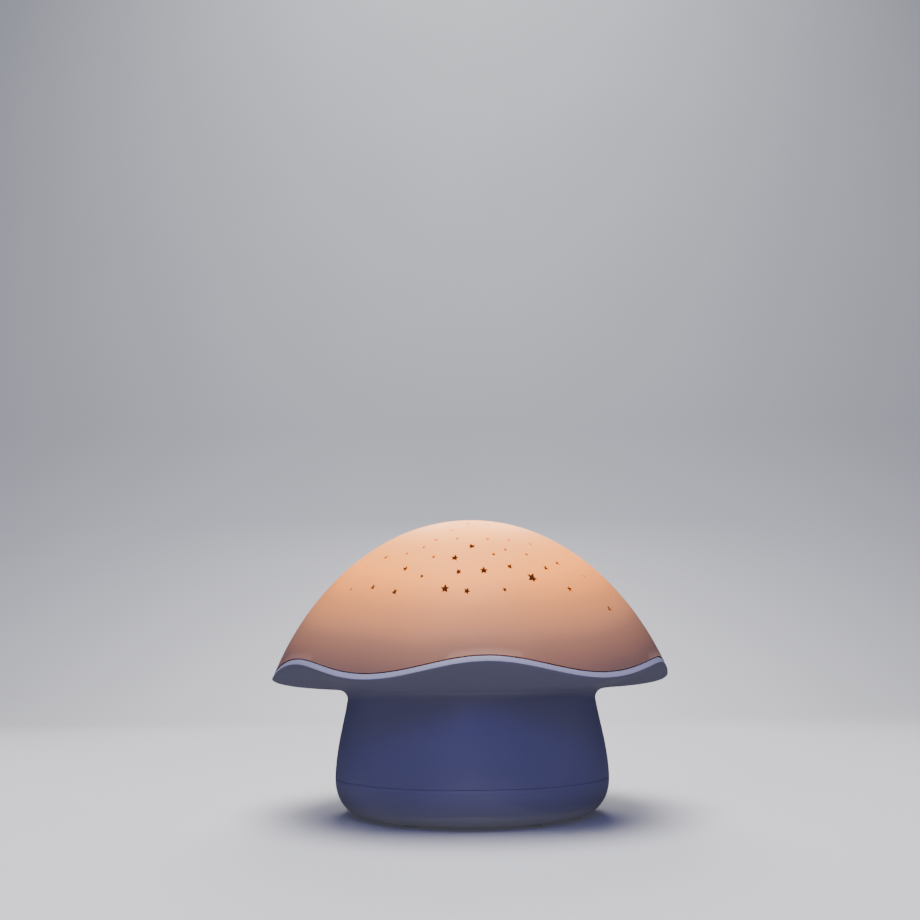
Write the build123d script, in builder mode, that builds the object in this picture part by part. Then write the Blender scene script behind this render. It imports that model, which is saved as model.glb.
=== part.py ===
"""Star night light projector: a mushroom of cap, brimmed stem and foot, with its lamp and cells.

Millimetres, +Z up, front at -Y. The origin is the centre of the face that the light stands on.
Azimuths turn round Z from the front towards +X.
"""
import os
from math import acos, atan2, cos, degrees, hypot, radians, sin, sqrt

from build123d import *

# ---- driving dimensions -------------------------------------------------------------------------

# Cap: three tangent arcs from the apex down, each ending at a slope from the horizontal
TOTAL_HEIGHT = 110.0
CROWN_RADIUS = 68.3
CROWN_SLOPE = 30.5
SHOULDER_RADIUS = 86.7
SHOULDER_SLOPE = 48.5
SKIRT_RADIUS = 103.0
CAP_WALL = 2.0
LINER_WALL = 1.0
LINER_GAP = 0.3
LINER_SEAT_GAP = 0.1

# Wavy rim between cap and brim
RIM_HEIGHT = 53.1
RIM_WAVE = 2.65
LOBES = 6
LOBE_TURN = 4.0
CAP_EDGE_GAP = 0.3
BEAD_RADIUS = 1.05
BEAD_PROUD = 0.7
RING_HEIGHT = 2.5
RING_WALL = 1.5
RING_GAP = 0.3

# Stem and foot
BELLY_RADIUS = 51.3
WAIST_RADIUS = 47.4
WAIST_HEIGHT = 42.0
STEM_FULLNESS = 1.3
BODY_WALL = 2.2
FILLET_HEIGHT = 41.4
NECK_CHAMFER = 2.0
BRIM_FILLET = 3.5
BRIM_RISE = 0.155
BRIM_CURL = 0.004
SEAM_HEIGHT = 13.5
SEAM_GAP = 0.2
FOOT_FLAT_RADIUS = 41.5
LIP_HEIGHT = 3.0
LIP_WALL = 1.6
LIP_GAP = 0.15
PAD_DIAMETER = 8.0
PAD_PROUD = 0.8
PAD_RECESS = 0.7
PAD_GAP = 0.1
PAD_X = 20.0
PAD_Y = 31.0

# Stars: rays leave the lamp point, and every hole is cut along its ray
LAMP_HEIGHT = 56.0
STAR_SPANS = {"S": 1.6, "M": 2.4, "L": 3.1, "XL": 4.0}
STAR_POINTS = 5
STAR_WAIST = 0.48
STAR_SPIN = 47
FIELD_SPIN = 29
STAR_FIELDS = 3
MOON_SPAN = 5.0
MOON_BITE = 2.1
MOON_SHIFT = 1.1
MOON_AZIMUTH = 181.0
MOON_POLAR = 40.0
# One third of the sky: (azimuth, angle from the vertical, size), in degrees
STAR_MAP = (
    (-8, 70, "L"), (-1, 71, "M"), (11, 70.5, "S"), (5, 62.5, "L"), (22, 65.5, "XL"), (-4, 63, "M"),
    (-6, 56, "L"), (15, 60.5, "M"), (1, 49, "L"), (-25, 60.5, "M"), (-17, 64.5, "S"),
    (-25, 70.5, "M"), (-15, 55, "S"), (10, 54, "S"), (16, 51, "S"), (21, 44, "S"), (25, 53.5, "S"),
    (32, 46, "S"), (30, 60.5, "M"), (38, 57.5, "M"), (35, 69.5, "L"), (-6.5, 43, "S"),
    (9.5, 43.5, "S"), (-18, 43.5, "S"), (-22, 48.5, "S"), (-29, 52, "S"), (-40, 53, "L"),
    (-1, 26, "M"), (-11.5, 35, "S"), (16, 28, "S"), (-46, 68, "M"), (-35, 68, "L"),
    (-48, 57, "S"), (49, 76, "M"), (58, 70, "S"), (48, 63, "S"),
)

# Cells and their bay, under a door in the foot
CELL_COUNT = 3
CELL_DIAMETER = 14.5
CELL_LENGTH = 50.5
CELL_NUB_DIAMETER = 5.5
CELL_NUB_HEIGHT = 1.2
CELL_EDGE = 0.6
CELL_PITCH = 15.2
SPRING_LENGTH = 5.2
CONTACT_THICKNESS = 0.4
CONTACT_WIDTH = 11.0
CONTACT_HEIGHT = 11.0
TAB_WIDTH = 3.0
TAB_PROUD = 1.2
TAB_GAP = 0.3
SPRING_WIRE = 0.7
SPRING_RADIUS = 3.6
SPRING_TURNS = 3
BAY_SIDE_GAP = 0.85
BAY_WALL = 1.8
BAY_CEILING_GAP = 0.4
DOOR_THICKNESS = 2.0
DOOR_GAP = 0.3
DOOR_SEAT = 1.2
DOOR_CELL_GAP = 0.5
TONGUE_WIDTH = 7.0
TONGUE_LENGTH = 2.3
TONGUE_THICKNESS = 1.1
TONGUE_Y = 6.0
TONGUE_LIFT = 0.1
TONGUE_SWING = 1.0
EAR_RADIUS = 4.5
EAR_REACH = 3.3
NOTCH_WIDTH = 12.0
NOTCH_DEPTH = 1.1

# Screws: pan heads on plain shanks
DOOR_SCREW_SHANK = 2.6
DOOR_SCREW_HEAD = 5.0
DOOR_SCREW_HEAD_HEIGHT = 1.2
DOOR_SCREW_LENGTH = 6.3
DOOR_SCREW_FIT = 0.08
DOOR_SCREW_BORE = 3.9
DOOR_BOSS_DIAMETER = 8.0
BASE_SCREW_SHANK = 2.9
BASE_SCREW_HEAD = 5.4
BASE_SCREW_HEAD_HEIGHT = 1.8
BASE_SCREW_LENGTH = 16.0
BASE_SCREW_BORE = 3.2
BASE_SCREW_X = 34.5
BASE_SCREW_Y = 15.0
BASE_SCREW_POCKET = 5.2
BASE_POST_DIAMETER = 8.0
BASE_POST_TOP = 16.5
STEM_BOSS_DIAMETER = 7.5
STEM_BOSS_LENGTH = 11.0
SMALL_SCREW_SHANK = 2.0
SMALL_SCREW_HEAD = 3.8
SMALL_SCREW_HEAD_HEIGHT = 1.2
SMALL_SCREW_LENGTH = 4.0
PILOT_GAP = 0.05
PILOT_END = 0.5
RECESS_WIDTH = 0.6
RECESS_DEPTH = 0.7
RIB_THICKNESS = 1.8

# Lamp on its tray
TRAY_HEIGHT = 43.0
TRAY_THICKNESS = 2.0
TRAY_GAP = 0.5
TRAY_BOSS_PLACE = 38.5
TRAY_BOSS_DIAMETER = 7.0
TRAY_BOSS_LENGTH = 9.0
POST_DIAMETER = 20.0
POST_BORE = 9.0
LAMP_BOARD_DIAMETER = 22.0
BOARD_THICKNESS = 1.6
LAMP_SCREW_PLACE = 7.6
LED_WIDTH = 5.0
LED_HEIGHT = 1.6
LENS_RADIUS = 1.9

# Main board over the bay
MAIN_BOARD_LENGTH = 46.0
MAIN_BOARD_WIDTH = 34.0
MAIN_SCREW_INSET = 3.5
STANDOFF_HEIGHT = 2.6
STANDOFF_DIAMETER = 5.0
CHIP_LENGTH = 9.9
CHIP_WIDTH = 6.0
CHIP_HEIGHT = 1.6
CAPACITOR_DIAMETER = 6.3
CAPACITOR_HEIGHT = 7.0
SOCKET_LENGTH = 6.0
SOCKET_WIDTH = 4.5
SOCKET_HEIGHT = 5.0
SOCKET_PITCH = 10.0
SOCKET_Y = 9.0
CHIP_X = 8.0
CHIP_Y = -5.0

# Power button and its switch, at the rear of the stem
BUTTON_HEIGHT = 30.0
BUTTON_DIAMETER = 14.0
BUTTON_FIT = 0.1
BUTTON_PROUD = 1.3
BUTTON_DOME = 0.8
BUTTON_TRAVEL = 0.6
FLANGE_DIAMETER = 17.0
FLANGE_THICKNESS = 1.2
GUIDE_DEPTH = 3.4
GUIDE_WALL = 3.0
FLANGE_GAP = 0.1
PUSHER_DIAMETER = 5.0
PLUNGER_DIAMETER = 3.4
PLUNGER_FIT = 0.05
PLUNGER_REACH = 1.3
SWITCH_WIDTH = 6.0
SWITCH_HEIGHT = 3.5
SWITCH_DEPTH = 7.4
SWITCH_BOARD_LENGTH = 30.0
SWITCH_BOARD_HEIGHT = 12.0
SWITCH_POST_PLACE = 11.5
SWITCH_POST_DIAMETER = 5.0

# Leads
LEAD_DIAMETER = 1.3
LEAD_SPACING = 2.0
LEAD_BEND = 2.4
LEAD_LOOP = 4.0

# Stations along the lofted walls, and how far cutting shapes pass what they cut
STEM_STATIONS = 8
BRIM_STATIONS = 6
CUTTER_MARGIN = 12.0

# ---- levels and places that follow --------------------------------------------------------------

BASE_BOTTOM = PAD_PROUD
FLOOR_TOP = BASE_BOTTOM + BODY_WALL
FITTING_BOTTOM = FLOOR_TOP - PILOT_GAP
STEM_BOTTOM = SEAM_HEIGHT + SEAM_GAP / 2
BASE_TOP = SEAM_HEIGHT - SEAM_GAP / 2
DOOR_TOP = BASE_BOTTOM + DOOR_THICKNESS
CELL_AXIS = DOOR_TOP + DOOR_CELL_GAP + CELL_DIAMETER / 2
BAY_LENGTH = CELL_LENGTH + SPRING_LENGTH + 2 * CONTACT_THICKNESS
BAY_WIDTH = (CELL_COUNT - 1) * CELL_PITCH + CELL_DIAMETER + 2 * BAY_SIDE_GAP
BAY_CEILING = CELL_AXIS + CELL_DIAMETER / 2 + BAY_CEILING_GAP
BAY_TOP = BAY_CEILING + BAY_WALL
TAB_TOP = BAY_TOP + TAB_PROUD
DOOR_LENGTH = BAY_LENGTH + 2 * DOOR_SEAT
DOOR_WIDTH = BAY_WIDTH + 2 * DOOR_SEAT
DOOR_SCREW_X = DOOR_LENGTH / 2 + EAR_REACH
DOOR_SCREW_SINK = DOOR_SCREW_HEAD_HEIGHT + PILOT_GAP
BASE_SCREW_TIP = BASE_BOTTOM + BASE_SCREW_POCKET + BASE_SCREW_LENGTH
MAIN_BOARD_BOTTOM = BAY_TOP + STANDOFF_HEIGHT
MAIN_BOARD_TOP = MAIN_BOARD_BOTTOM + BOARD_THICKNESS
MAIN_SCREW_X = MAIN_BOARD_LENGTH / 2 - MAIN_SCREW_INSET
MAIN_SCREW_Y = MAIN_BOARD_WIDTH / 2 - MAIN_SCREW_INSET
TRAY_TOP = TRAY_HEIGHT + TRAY_THICKNESS
LAMP_BOARD_BOTTOM = LAMP_HEIGHT - LED_HEIGHT - BOARD_THICKNESS
LAMP_BOARD_TOP = LAMP_BOARD_BOTTOM + BOARD_THICKNESS
LOOP_POINTS = 8 * LOBES


def mirrored_places(x, y):
    """The four corners of a rectangle about the axis, given one of them."""
    return [(side * x, end * y) for side in (-1, 1) for end in (-1, 1)]


BASE_SCREW_PLACES = mirrored_places(BASE_SCREW_X, BASE_SCREW_Y)
PAD_PLACES = mirrored_places(PAD_X, PAD_Y)
STANDOFF_PLACES = mirrored_places(MAIN_SCREW_X, MAIN_SCREW_Y)
TRAY_PLACES = [
    (TRAY_BOSS_PLACE * cos(radians(turn)), TRAY_BOSS_PLACE * sin(radians(turn)))
    for turn in (30, 150, 270)
]

# ---- shapes shared by several pieces ------------------------------------------------------------

def dome_centres():
    """Centre, radius and end slope of the cap's three arcs. Each is tangent to the one above it."""
    crown_z = TOTAL_HEIGHT - CROWN_RADIUS
    step = SHOULDER_RADIUS - CROWN_RADIUS
    shoulder_r = -step * sin(radians(CROWN_SLOPE))
    shoulder_z = crown_z - step * cos(radians(CROWN_SLOPE))
    step = SKIRT_RADIUS - SHOULDER_RADIUS
    skirt_r = shoulder_r - step * sin(radians(SHOULDER_SLOPE))
    skirt_z = shoulder_z - step * cos(radians(SHOULDER_SLOPE))
    return (
        (0.0, crown_z, CROWN_RADIUS, CROWN_SLOPE),
        (shoulder_r, shoulder_z, SHOULDER_RADIUS, SHOULDER_SLOPE),
        (skirt_r, skirt_z, SKIRT_RADIUS, 90.0),
    )


def dome_radius(height, inset=0.0):
    """Radius of the cap's outer skin, or of a skin inside it by inset, at one height."""
    for centre_r, centre_z, radius, slope in dome_centres():
        reach = radius - inset
        rise = height - centre_z
        if rise >= reach * cos(radians(slope)):
            break
    return centre_r + sqrt(max(reach * reach - rise * rise, 0.0))


def dome_solid(inset, bottom):
    """Solid of revolution under the cap's skin, moved in by inset and cut flat at bottom."""
    with BuildPart() as dome:
        with BuildSketch(Plane.XZ):
            with BuildLine():
                start = 0.0
                for centre_r, centre_z, radius, slope in dome_centres():
                    reach = radius - inset
                    end = min(slope, degrees(acos((bottom - centre_z) / reach)))
                    arc = CenterArc((centre_r, centre_z), reach, 90 - start, start - end)
                    start = slope
                Line(arc @ 1, (0, bottom))
                Line((0, bottom), (0, TOTAL_HEIGHT - inset))
            make_face()
        revolve(axis=Axis.Z)
    return dome.part


def stem_radius(height):
    """Outer radius of the stem: full at the seam, narrowest at the waist."""
    part = min((height - SEAM_HEIGHT) / (WAIST_HEIGHT - SEAM_HEIGHT), 1.0)
    swell = max(cos(radians(90 * part)), 0.0) ** STEM_FULLNESS
    return WAIST_RADIUS + (BELLY_RADIUS - WAIST_RADIUS) * swell


BEAD_CENTRE = dome_radius(RIM_HEIGHT) + BEAD_PROUD - BEAD_RADIUS
BRIM_ROOT = WAIST_RADIUS + BRIM_FILLET
BRIM_ROOT_HEIGHT = FILLET_HEIGHT + BRIM_FILLET
RING_TOP = RIM_HEIGHT + RING_HEIGHT
RING_RADIUS = dome_radius(RIM_HEIGHT, CAP_WALL) - RING_GAP
RING_TOP_RADIUS = dome_radius(RING_TOP, CAP_WALL) - RING_GAP
RING_INSIDE = RING_TOP_RADIUS - RING_WALL
RIM_SHRINK = dome_radius(RIM_HEIGHT - RIM_WAVE) - dome_radius(RIM_HEIGHT + RIM_WAVE)
RIM_LEAN = RIM_SHRINK / (2 * RIM_WAVE)
STEM_INSIDE = stem_radius(STEM_BOTTOM) - BODY_WALL


def brim_share(radius):
    """How much of the rim's wave the brim has at one radius: none at its root, all at the bead."""
    return min(max((radius - BRIM_ROOT) / (BEAD_CENTRE - BRIM_ROOT), 0.0), 1.0)


def brim_underside(radius):
    """Mean height of the brim's underside, which curls up towards the bead."""
    out = max(radius - BRIM_ROOT, 0.0)
    return BRIM_ROOT_HEIGHT + BRIM_RISE * out + BRIM_CURL * out * out


def rim_loop(radius, height, share):
    """Closed loop round the axis that follows a share of the rim's wave, up the dome's slope."""
    points = []
    for step in range(LOOP_POINTS):
        turn = radians(360 * step / LOOP_POINTS)
        wave = share * RIM_WAVE * cos(LOBES * (turn - radians(LOBE_TURN)))
        reach = radius - RIM_LEAN * wave
        points.append((reach * sin(turn), -reach * cos(turn), height + wave))
    with BuildLine() as loop:
        Spline(*points, periodic=True)
    return loop.wire()


def wavy_solid(stations):
    """Solid through rim loops, given as (radius, height, share). The first and last are flat."""
    return Solid.make_loft([rim_loop(*station) for station in stations], ruled=True)


def below_rim(height):
    """Everything below the wavy surface at one mean height, out past the brim."""
    outside = BEAD_CENTRE + CUTTER_MARGIN
    inside = RING_RADIUS - CUTTER_MARGIN
    return wavy_solid([
        (outside, height - CUTTER_MARGIN, 0),
        (outside, height, 1),
        (inside, height, 1),
        (inside - CUTTER_MARGIN, height - CUTTER_MARGIN, 0),
    ])


def brim_outside():
    """The stem and brim as if solid, from the seam up to the top of the locating ring."""
    rise = (FILLET_HEIGHT - STEM_BOTTOM) / STEM_STATIONS
    heights = [STEM_BOTTOM + rise * step for step in range(STEM_STATIONS + 1)]
    stations = [(stem_radius(height), height, 0) for height in heights]
    for angle in (160, 140, 120, 100):
        radius = BRIM_ROOT + BRIM_FILLET * cos(radians(angle))
        stations.append((radius, FILLET_HEIGHT + BRIM_FILLET * sin(radians(angle)), 0))
    for step in range(1, BRIM_STATIONS + 1):
        radius = BRIM_ROOT + (BEAD_CENTRE - BRIM_ROOT) * step / BRIM_STATIONS
        stations.append((radius, brim_underside(radius), brim_share(radius)))
    for angle in (-60, -30, 0, 30, 60, 90):
        radius = BEAD_CENTRE + BEAD_RADIUS * cos(radians(angle))
        stations.append((radius, RIM_HEIGHT - BEAD_RADIUS * (1 - sin(radians(angle))), 1))
    stations.append((RING_RADIUS, RIM_HEIGHT, 1))
    stations.append((RING_TOP_RADIUS, RING_TOP, 1))
    stations.append((RING_RADIUS - CUTTER_MARGIN, RING_TOP, 1))
    stations.append((RING_RADIUS - 2 * CUTTER_MARGIN, RING_TOP, 0))
    return wavy_solid(stations)


def brim_inside():
    """The hollow of the stem and brim."""
    neck = WAIST_RADIUS - BODY_WALL
    floor = BRIM_ROOT_HEIGHT + BODY_WALL
    rise = (WAIST_HEIGHT - STEM_BOTTOM) / STEM_STATIONS
    heights = [STEM_BOTTOM + rise * step for step in range(STEM_STATIONS + 1)]
    stations = [(STEM_INSIDE, STEM_BOTTOM - LIP_HEIGHT, 0)]
    for height in heights:
        stations.append((stem_radius(height) - BODY_WALL, height, 0))
    stations.append((neck + NECK_CHAMFER / 4, floor - NECK_CHAMFER / 2, 0))
    stations.append((neck + NECK_CHAMFER, floor, 0))
    for step in range(1, BRIM_STATIONS + 1):
        radius = BRIM_ROOT + (RING_INSIDE - BRIM_ROOT) * step / BRIM_STATIONS
        stations.append((radius, brim_underside(radius) + BODY_WALL, brim_share(radius)))
    stations.append((RING_INSIDE, RING_TOP + RING_HEIGHT, 1))
    stations.append((RING_INSIDE - CUTTER_MARGIN, RING_TOP + CUTTER_MARGIN, 0))
    return wavy_solid(stations)


def ray_plane(azimuth, polar, distance):
    """Plane across the ray that leaves the lamp point at an azimuth and an angle from the vertical."""
    direction = Vector(
        sin(radians(polar)) * sin(radians(azimuth)),
        -sin(radians(polar)) * cos(radians(azimuth)),
        cos(radians(polar)),
    )
    return Plane(Vector(0, 0, LAMP_HEIGHT) + direction * distance, z_dir=direction)


def ray_reach(polar):
    """Distance from the lamp point to the cap's outer skin along a ray."""
    near = 0.0
    far = 2 * CROWN_RADIUS
    while far - near > 0.01:
        middle = (near + far) / 2
        if middle * sin(radians(polar)) < dome_radius(LAMP_HEIGHT + middle * cos(radians(polar))):
            near = middle
        else:
            far = middle
    return near


def star_cutter(azimuth, polar, span, spin):
    """Five-pointed bar along one ray, long enough to pass the cap's wall."""
    with BuildPart() as bar:
        with BuildSketch(ray_plane(azimuth, polar, ray_reach(polar))):
            with BuildLine():
                corners = []
                for corner in range(2 * STAR_POINTS):
                    reach = span / 2 * (STAR_WAIST if corner % 2 else 1)
                    turn = radians(180 * corner / STAR_POINTS + spin)
                    corners.append((reach * cos(turn), reach * sin(turn)))
                Polyline(*corners, close=True)
            make_face()
        extrude(amount=2 * CAP_WALL, both=True)
    return bar.part


def moon_cutter():
    """Crescent bar along its ray."""
    with BuildPart() as bar:
        with BuildSketch(ray_plane(MOON_AZIMUTH, MOON_POLAR, ray_reach(MOON_POLAR))):
            Circle(MOON_SPAN / 2)
            with Locations((0, MOON_SHIFT)):
                Circle(MOON_BITE, mode=Mode.SUBTRACT)
        extrude(amount=2 * CAP_WALL, both=True)
    return bar.part


def pan_screws(plane, places, head, head_height, shank, length):
    """Like screws at several places of a plane: heads stand on it, shanks go down through it."""
    with BuildPart() as screws:
        with BuildSketch(plane):
            with Locations(*places):
                Circle(head / 2)
        extrude(amount=head_height)
        rims = screws.edges().group_by(Axis(plane.origin, plane.z_dir))[-1]
        fillet(rims, head_height / 4)
        with BuildSketch(plane):
            with Locations(*places):
                Circle(shank / 2)
        extrude(amount=-length)
        with BuildSketch(plane.offset(head_height)):
            with Locations(*places):
                Rectangle(head / 2, RECESS_WIDTH)
                Rectangle(RECESS_WIDTH, head / 2)
        extrude(amount=-RECESS_DEPTH, mode=Mode.SUBTRACT)
    return screws.part


def save(part, name):
    """Labels a finished piece and writes it under the name of its node."""
    part.label = name
    export_step(part, f"parts/{name}.step")


os.makedirs("parts", exist_ok=True)

# ---- cap ----------------------------------------------------------------------------------------

rim_clearance = below_rim(RIM_HEIGHT + CAP_EDGE_GAP)
star_bars = [moon_cutter()]
for field in range(STAR_FIELDS):
    for index, (azimuth, polar, size) in enumerate(STAR_MAP):
        turned = azimuth + 360 * field / STAR_FIELDS
        spin = STAR_SPIN * index + FIELD_SPIN * field
        star_bars.append(star_cutter(turned, polar, STAR_SPANS[size], spin))

with BuildPart() as cap_shell:
    add(dome_solid(0, RIM_HEIGHT - 2 * RIM_WAVE))
    add(dome_solid(CAP_WALL, RIM_HEIGHT - 3 * RIM_WAVE), mode=Mode.SUBTRACT)
    add(rim_clearance, mode=Mode.SUBTRACT)
    add(star_bars, mode=Mode.SUBTRACT)
save(cap_shell.part, "cap_shell")

with BuildPart() as cap_liner:
    add(dome_solid(CAP_WALL + LINER_GAP, RIM_HEIGHT - RIM_WAVE))
    add(dome_solid(CAP_WALL + LINER_GAP + LINER_WALL, RIM_HEIGHT - 2 * RIM_WAVE), mode=Mode.SUBTRACT)
    add(below_rim(RING_TOP + LINER_SEAT_GAP), mode=Mode.SUBTRACT)
save(cap_liner.part, "cap_liner")

# ---- stem and brim ------------------------------------------------------------------------------

stem_outside = brim_outside()
button_tilt = atan2(stem_radius(BUTTON_HEIGHT - 1) - stem_radius(BUTTON_HEIGHT + 1), 2)
button_plane = Plane(
    (0, stem_radius(BUTTON_HEIGHT), BUTTON_HEIGHT),
    x_dir=(-1, 0, 0),
    z_dir=(0, cos(button_tilt), sin(button_tilt)),
)
switch_posts = [(-SWITCH_POST_PLACE, 0), (SWITCH_POST_PLACE, 0)]
switch_body_top = SWITCH_DEPTH + PLUNGER_REACH
switch_board_front = switch_body_top + SWITCH_HEIGHT


def outward_ribs(places):
    """Rib in the open sketch from each place straight out past the stem's wall."""
    for x, y in places:
        with Locations(Location((x, y, 0), (0, 0, degrees(atan2(y, x))))):
            Rectangle(BELLY_RADIUS - hypot(x, y), RIB_THICKNESS, align=(Align.MIN, Align.CENTER))


# Bosses, ribs and posts inside the stem, trimmed to its outer skin
with BuildPart() as stem_fittings:
    with BuildSketch(Plane.XY.offset(BASE_POST_TOP)):
        with Locations(*BASE_SCREW_PLACES):
            Circle(STEM_BOSS_DIAMETER / 2)
    extrude(amount=STEM_BOSS_LENGTH)
    rib_bottom = STEM_BOTTOM + LIP_HEIGHT + DOOR_GAP
    with BuildSketch(Plane.XY.offset(rib_bottom)):
        outward_ribs(BASE_SCREW_PLACES)
    extrude(amount=BASE_POST_TOP + STEM_BOSS_LENGTH - rib_bottom)
    with BuildSketch(Plane.XY.offset(TRAY_HEIGHT)):
        with Locations(*TRAY_PLACES):
            Circle(TRAY_BOSS_DIAMETER / 2)
        outward_ribs(TRAY_PLACES)
    extrude(amount=-TRAY_BOSS_LENGTH)
    with BuildSketch(button_plane.offset(-GUIDE_DEPTH)):
        Circle(BUTTON_DIAMETER / 2 + GUIDE_WALL)
    extrude(amount=GUIDE_DEPTH)
    with BuildSketch(button_plane.offset(-switch_board_front)):
        with Locations(*switch_posts):
            Circle(SWITCH_POST_DIAMETER / 2)
    extrude(amount=switch_board_front)
    add(stem_outside, mode=Mode.INTERSECT)

with BuildPart() as stem_shell:
    add(stem_outside)
    add(brim_inside(), mode=Mode.SUBTRACT)
    add(stem_fittings.part)
    with BuildSketch(Plane.XY.offset(BASE_POST_TOP)):
        with Locations(*BASE_SCREW_PLACES):
            Circle(BASE_SCREW_SHANK / 2 + PILOT_GAP)
    extrude(amount=BASE_SCREW_TIP + PILOT_END - BASE_POST_TOP, mode=Mode.SUBTRACT)
    with BuildSketch(Plane.XY.offset(TRAY_HEIGHT)):
        with Locations(*TRAY_PLACES):
            Circle(SMALL_SCREW_SHANK / 2 + PILOT_GAP)
    extrude(amount=-SMALL_SCREW_LENGTH, mode=Mode.SUBTRACT)
    with BuildSketch(button_plane.offset(-switch_board_front)):
        with Locations(*switch_posts):
            Circle(SMALL_SCREW_SHANK / 2 + PILOT_GAP)
    extrude(amount=SMALL_SCREW_LENGTH, mode=Mode.SUBTRACT)
    with BuildSketch(button_plane.offset(-2 * GUIDE_DEPTH)):
        Circle(BUTTON_DIAMETER / 2 + BUTTON_FIT)
    extrude(amount=4 * GUIDE_DEPTH, mode=Mode.SUBTRACT)
save(stem_shell.part, "stem_shell")

# ---- base, door and feet ------------------------------------------------------------------------

slot_left = DOOR_LENGTH / 2 + TONGUE_LENGTH + 2 * DOOR_GAP
slot_right = BAY_LENGTH / 2
tongue_top = FLOOR_TOP + TONGUE_LIFT + TONGUE_THICKNESS
tongue_root = -DOOR_LENGTH / 2 + DOOR_SEAT
contact_x = BAY_LENGTH / 2 - CONTACT_THICKNESS / 2


def door_outline(margin):
    """Door's outline in the open sketch, grown by margin: a plate with an ear for its screw."""
    Rectangle(DOOR_LENGTH + 2 * margin, DOOR_WIDTH + 2 * margin)
    with Locations((DOOR_LENGTH / 2, 0)):
        Rectangle(EAR_REACH, 2 * (EAR_RADIUS + margin), align=(Align.MIN, Align.CENTER))
    with Locations((DOOR_SCREW_X, 0)):
        Circle(EAR_RADIUS + margin)


def foot_profile(inset):
    """Rounded foot in the open line, from its flat underside to the seam, moved in by inset."""
    bottom = BASE_BOTTOM + inset
    Line((0, bottom), (FOOT_FLAT_RADIUS, bottom))
    EllipticalCenterArc(
        (FOOT_FLAT_RADIUS, BASE_TOP),
        BELLY_RADIUS - FOOT_FLAT_RADIUS - inset,
        BASE_TOP - bottom,
        start_angle=270,
        arc_size=90,
    )
    Line((BELLY_RADIUS - inset, BASE_TOP), (0, BASE_TOP))
    Line((0, BASE_TOP), (0, bottom))


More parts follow.
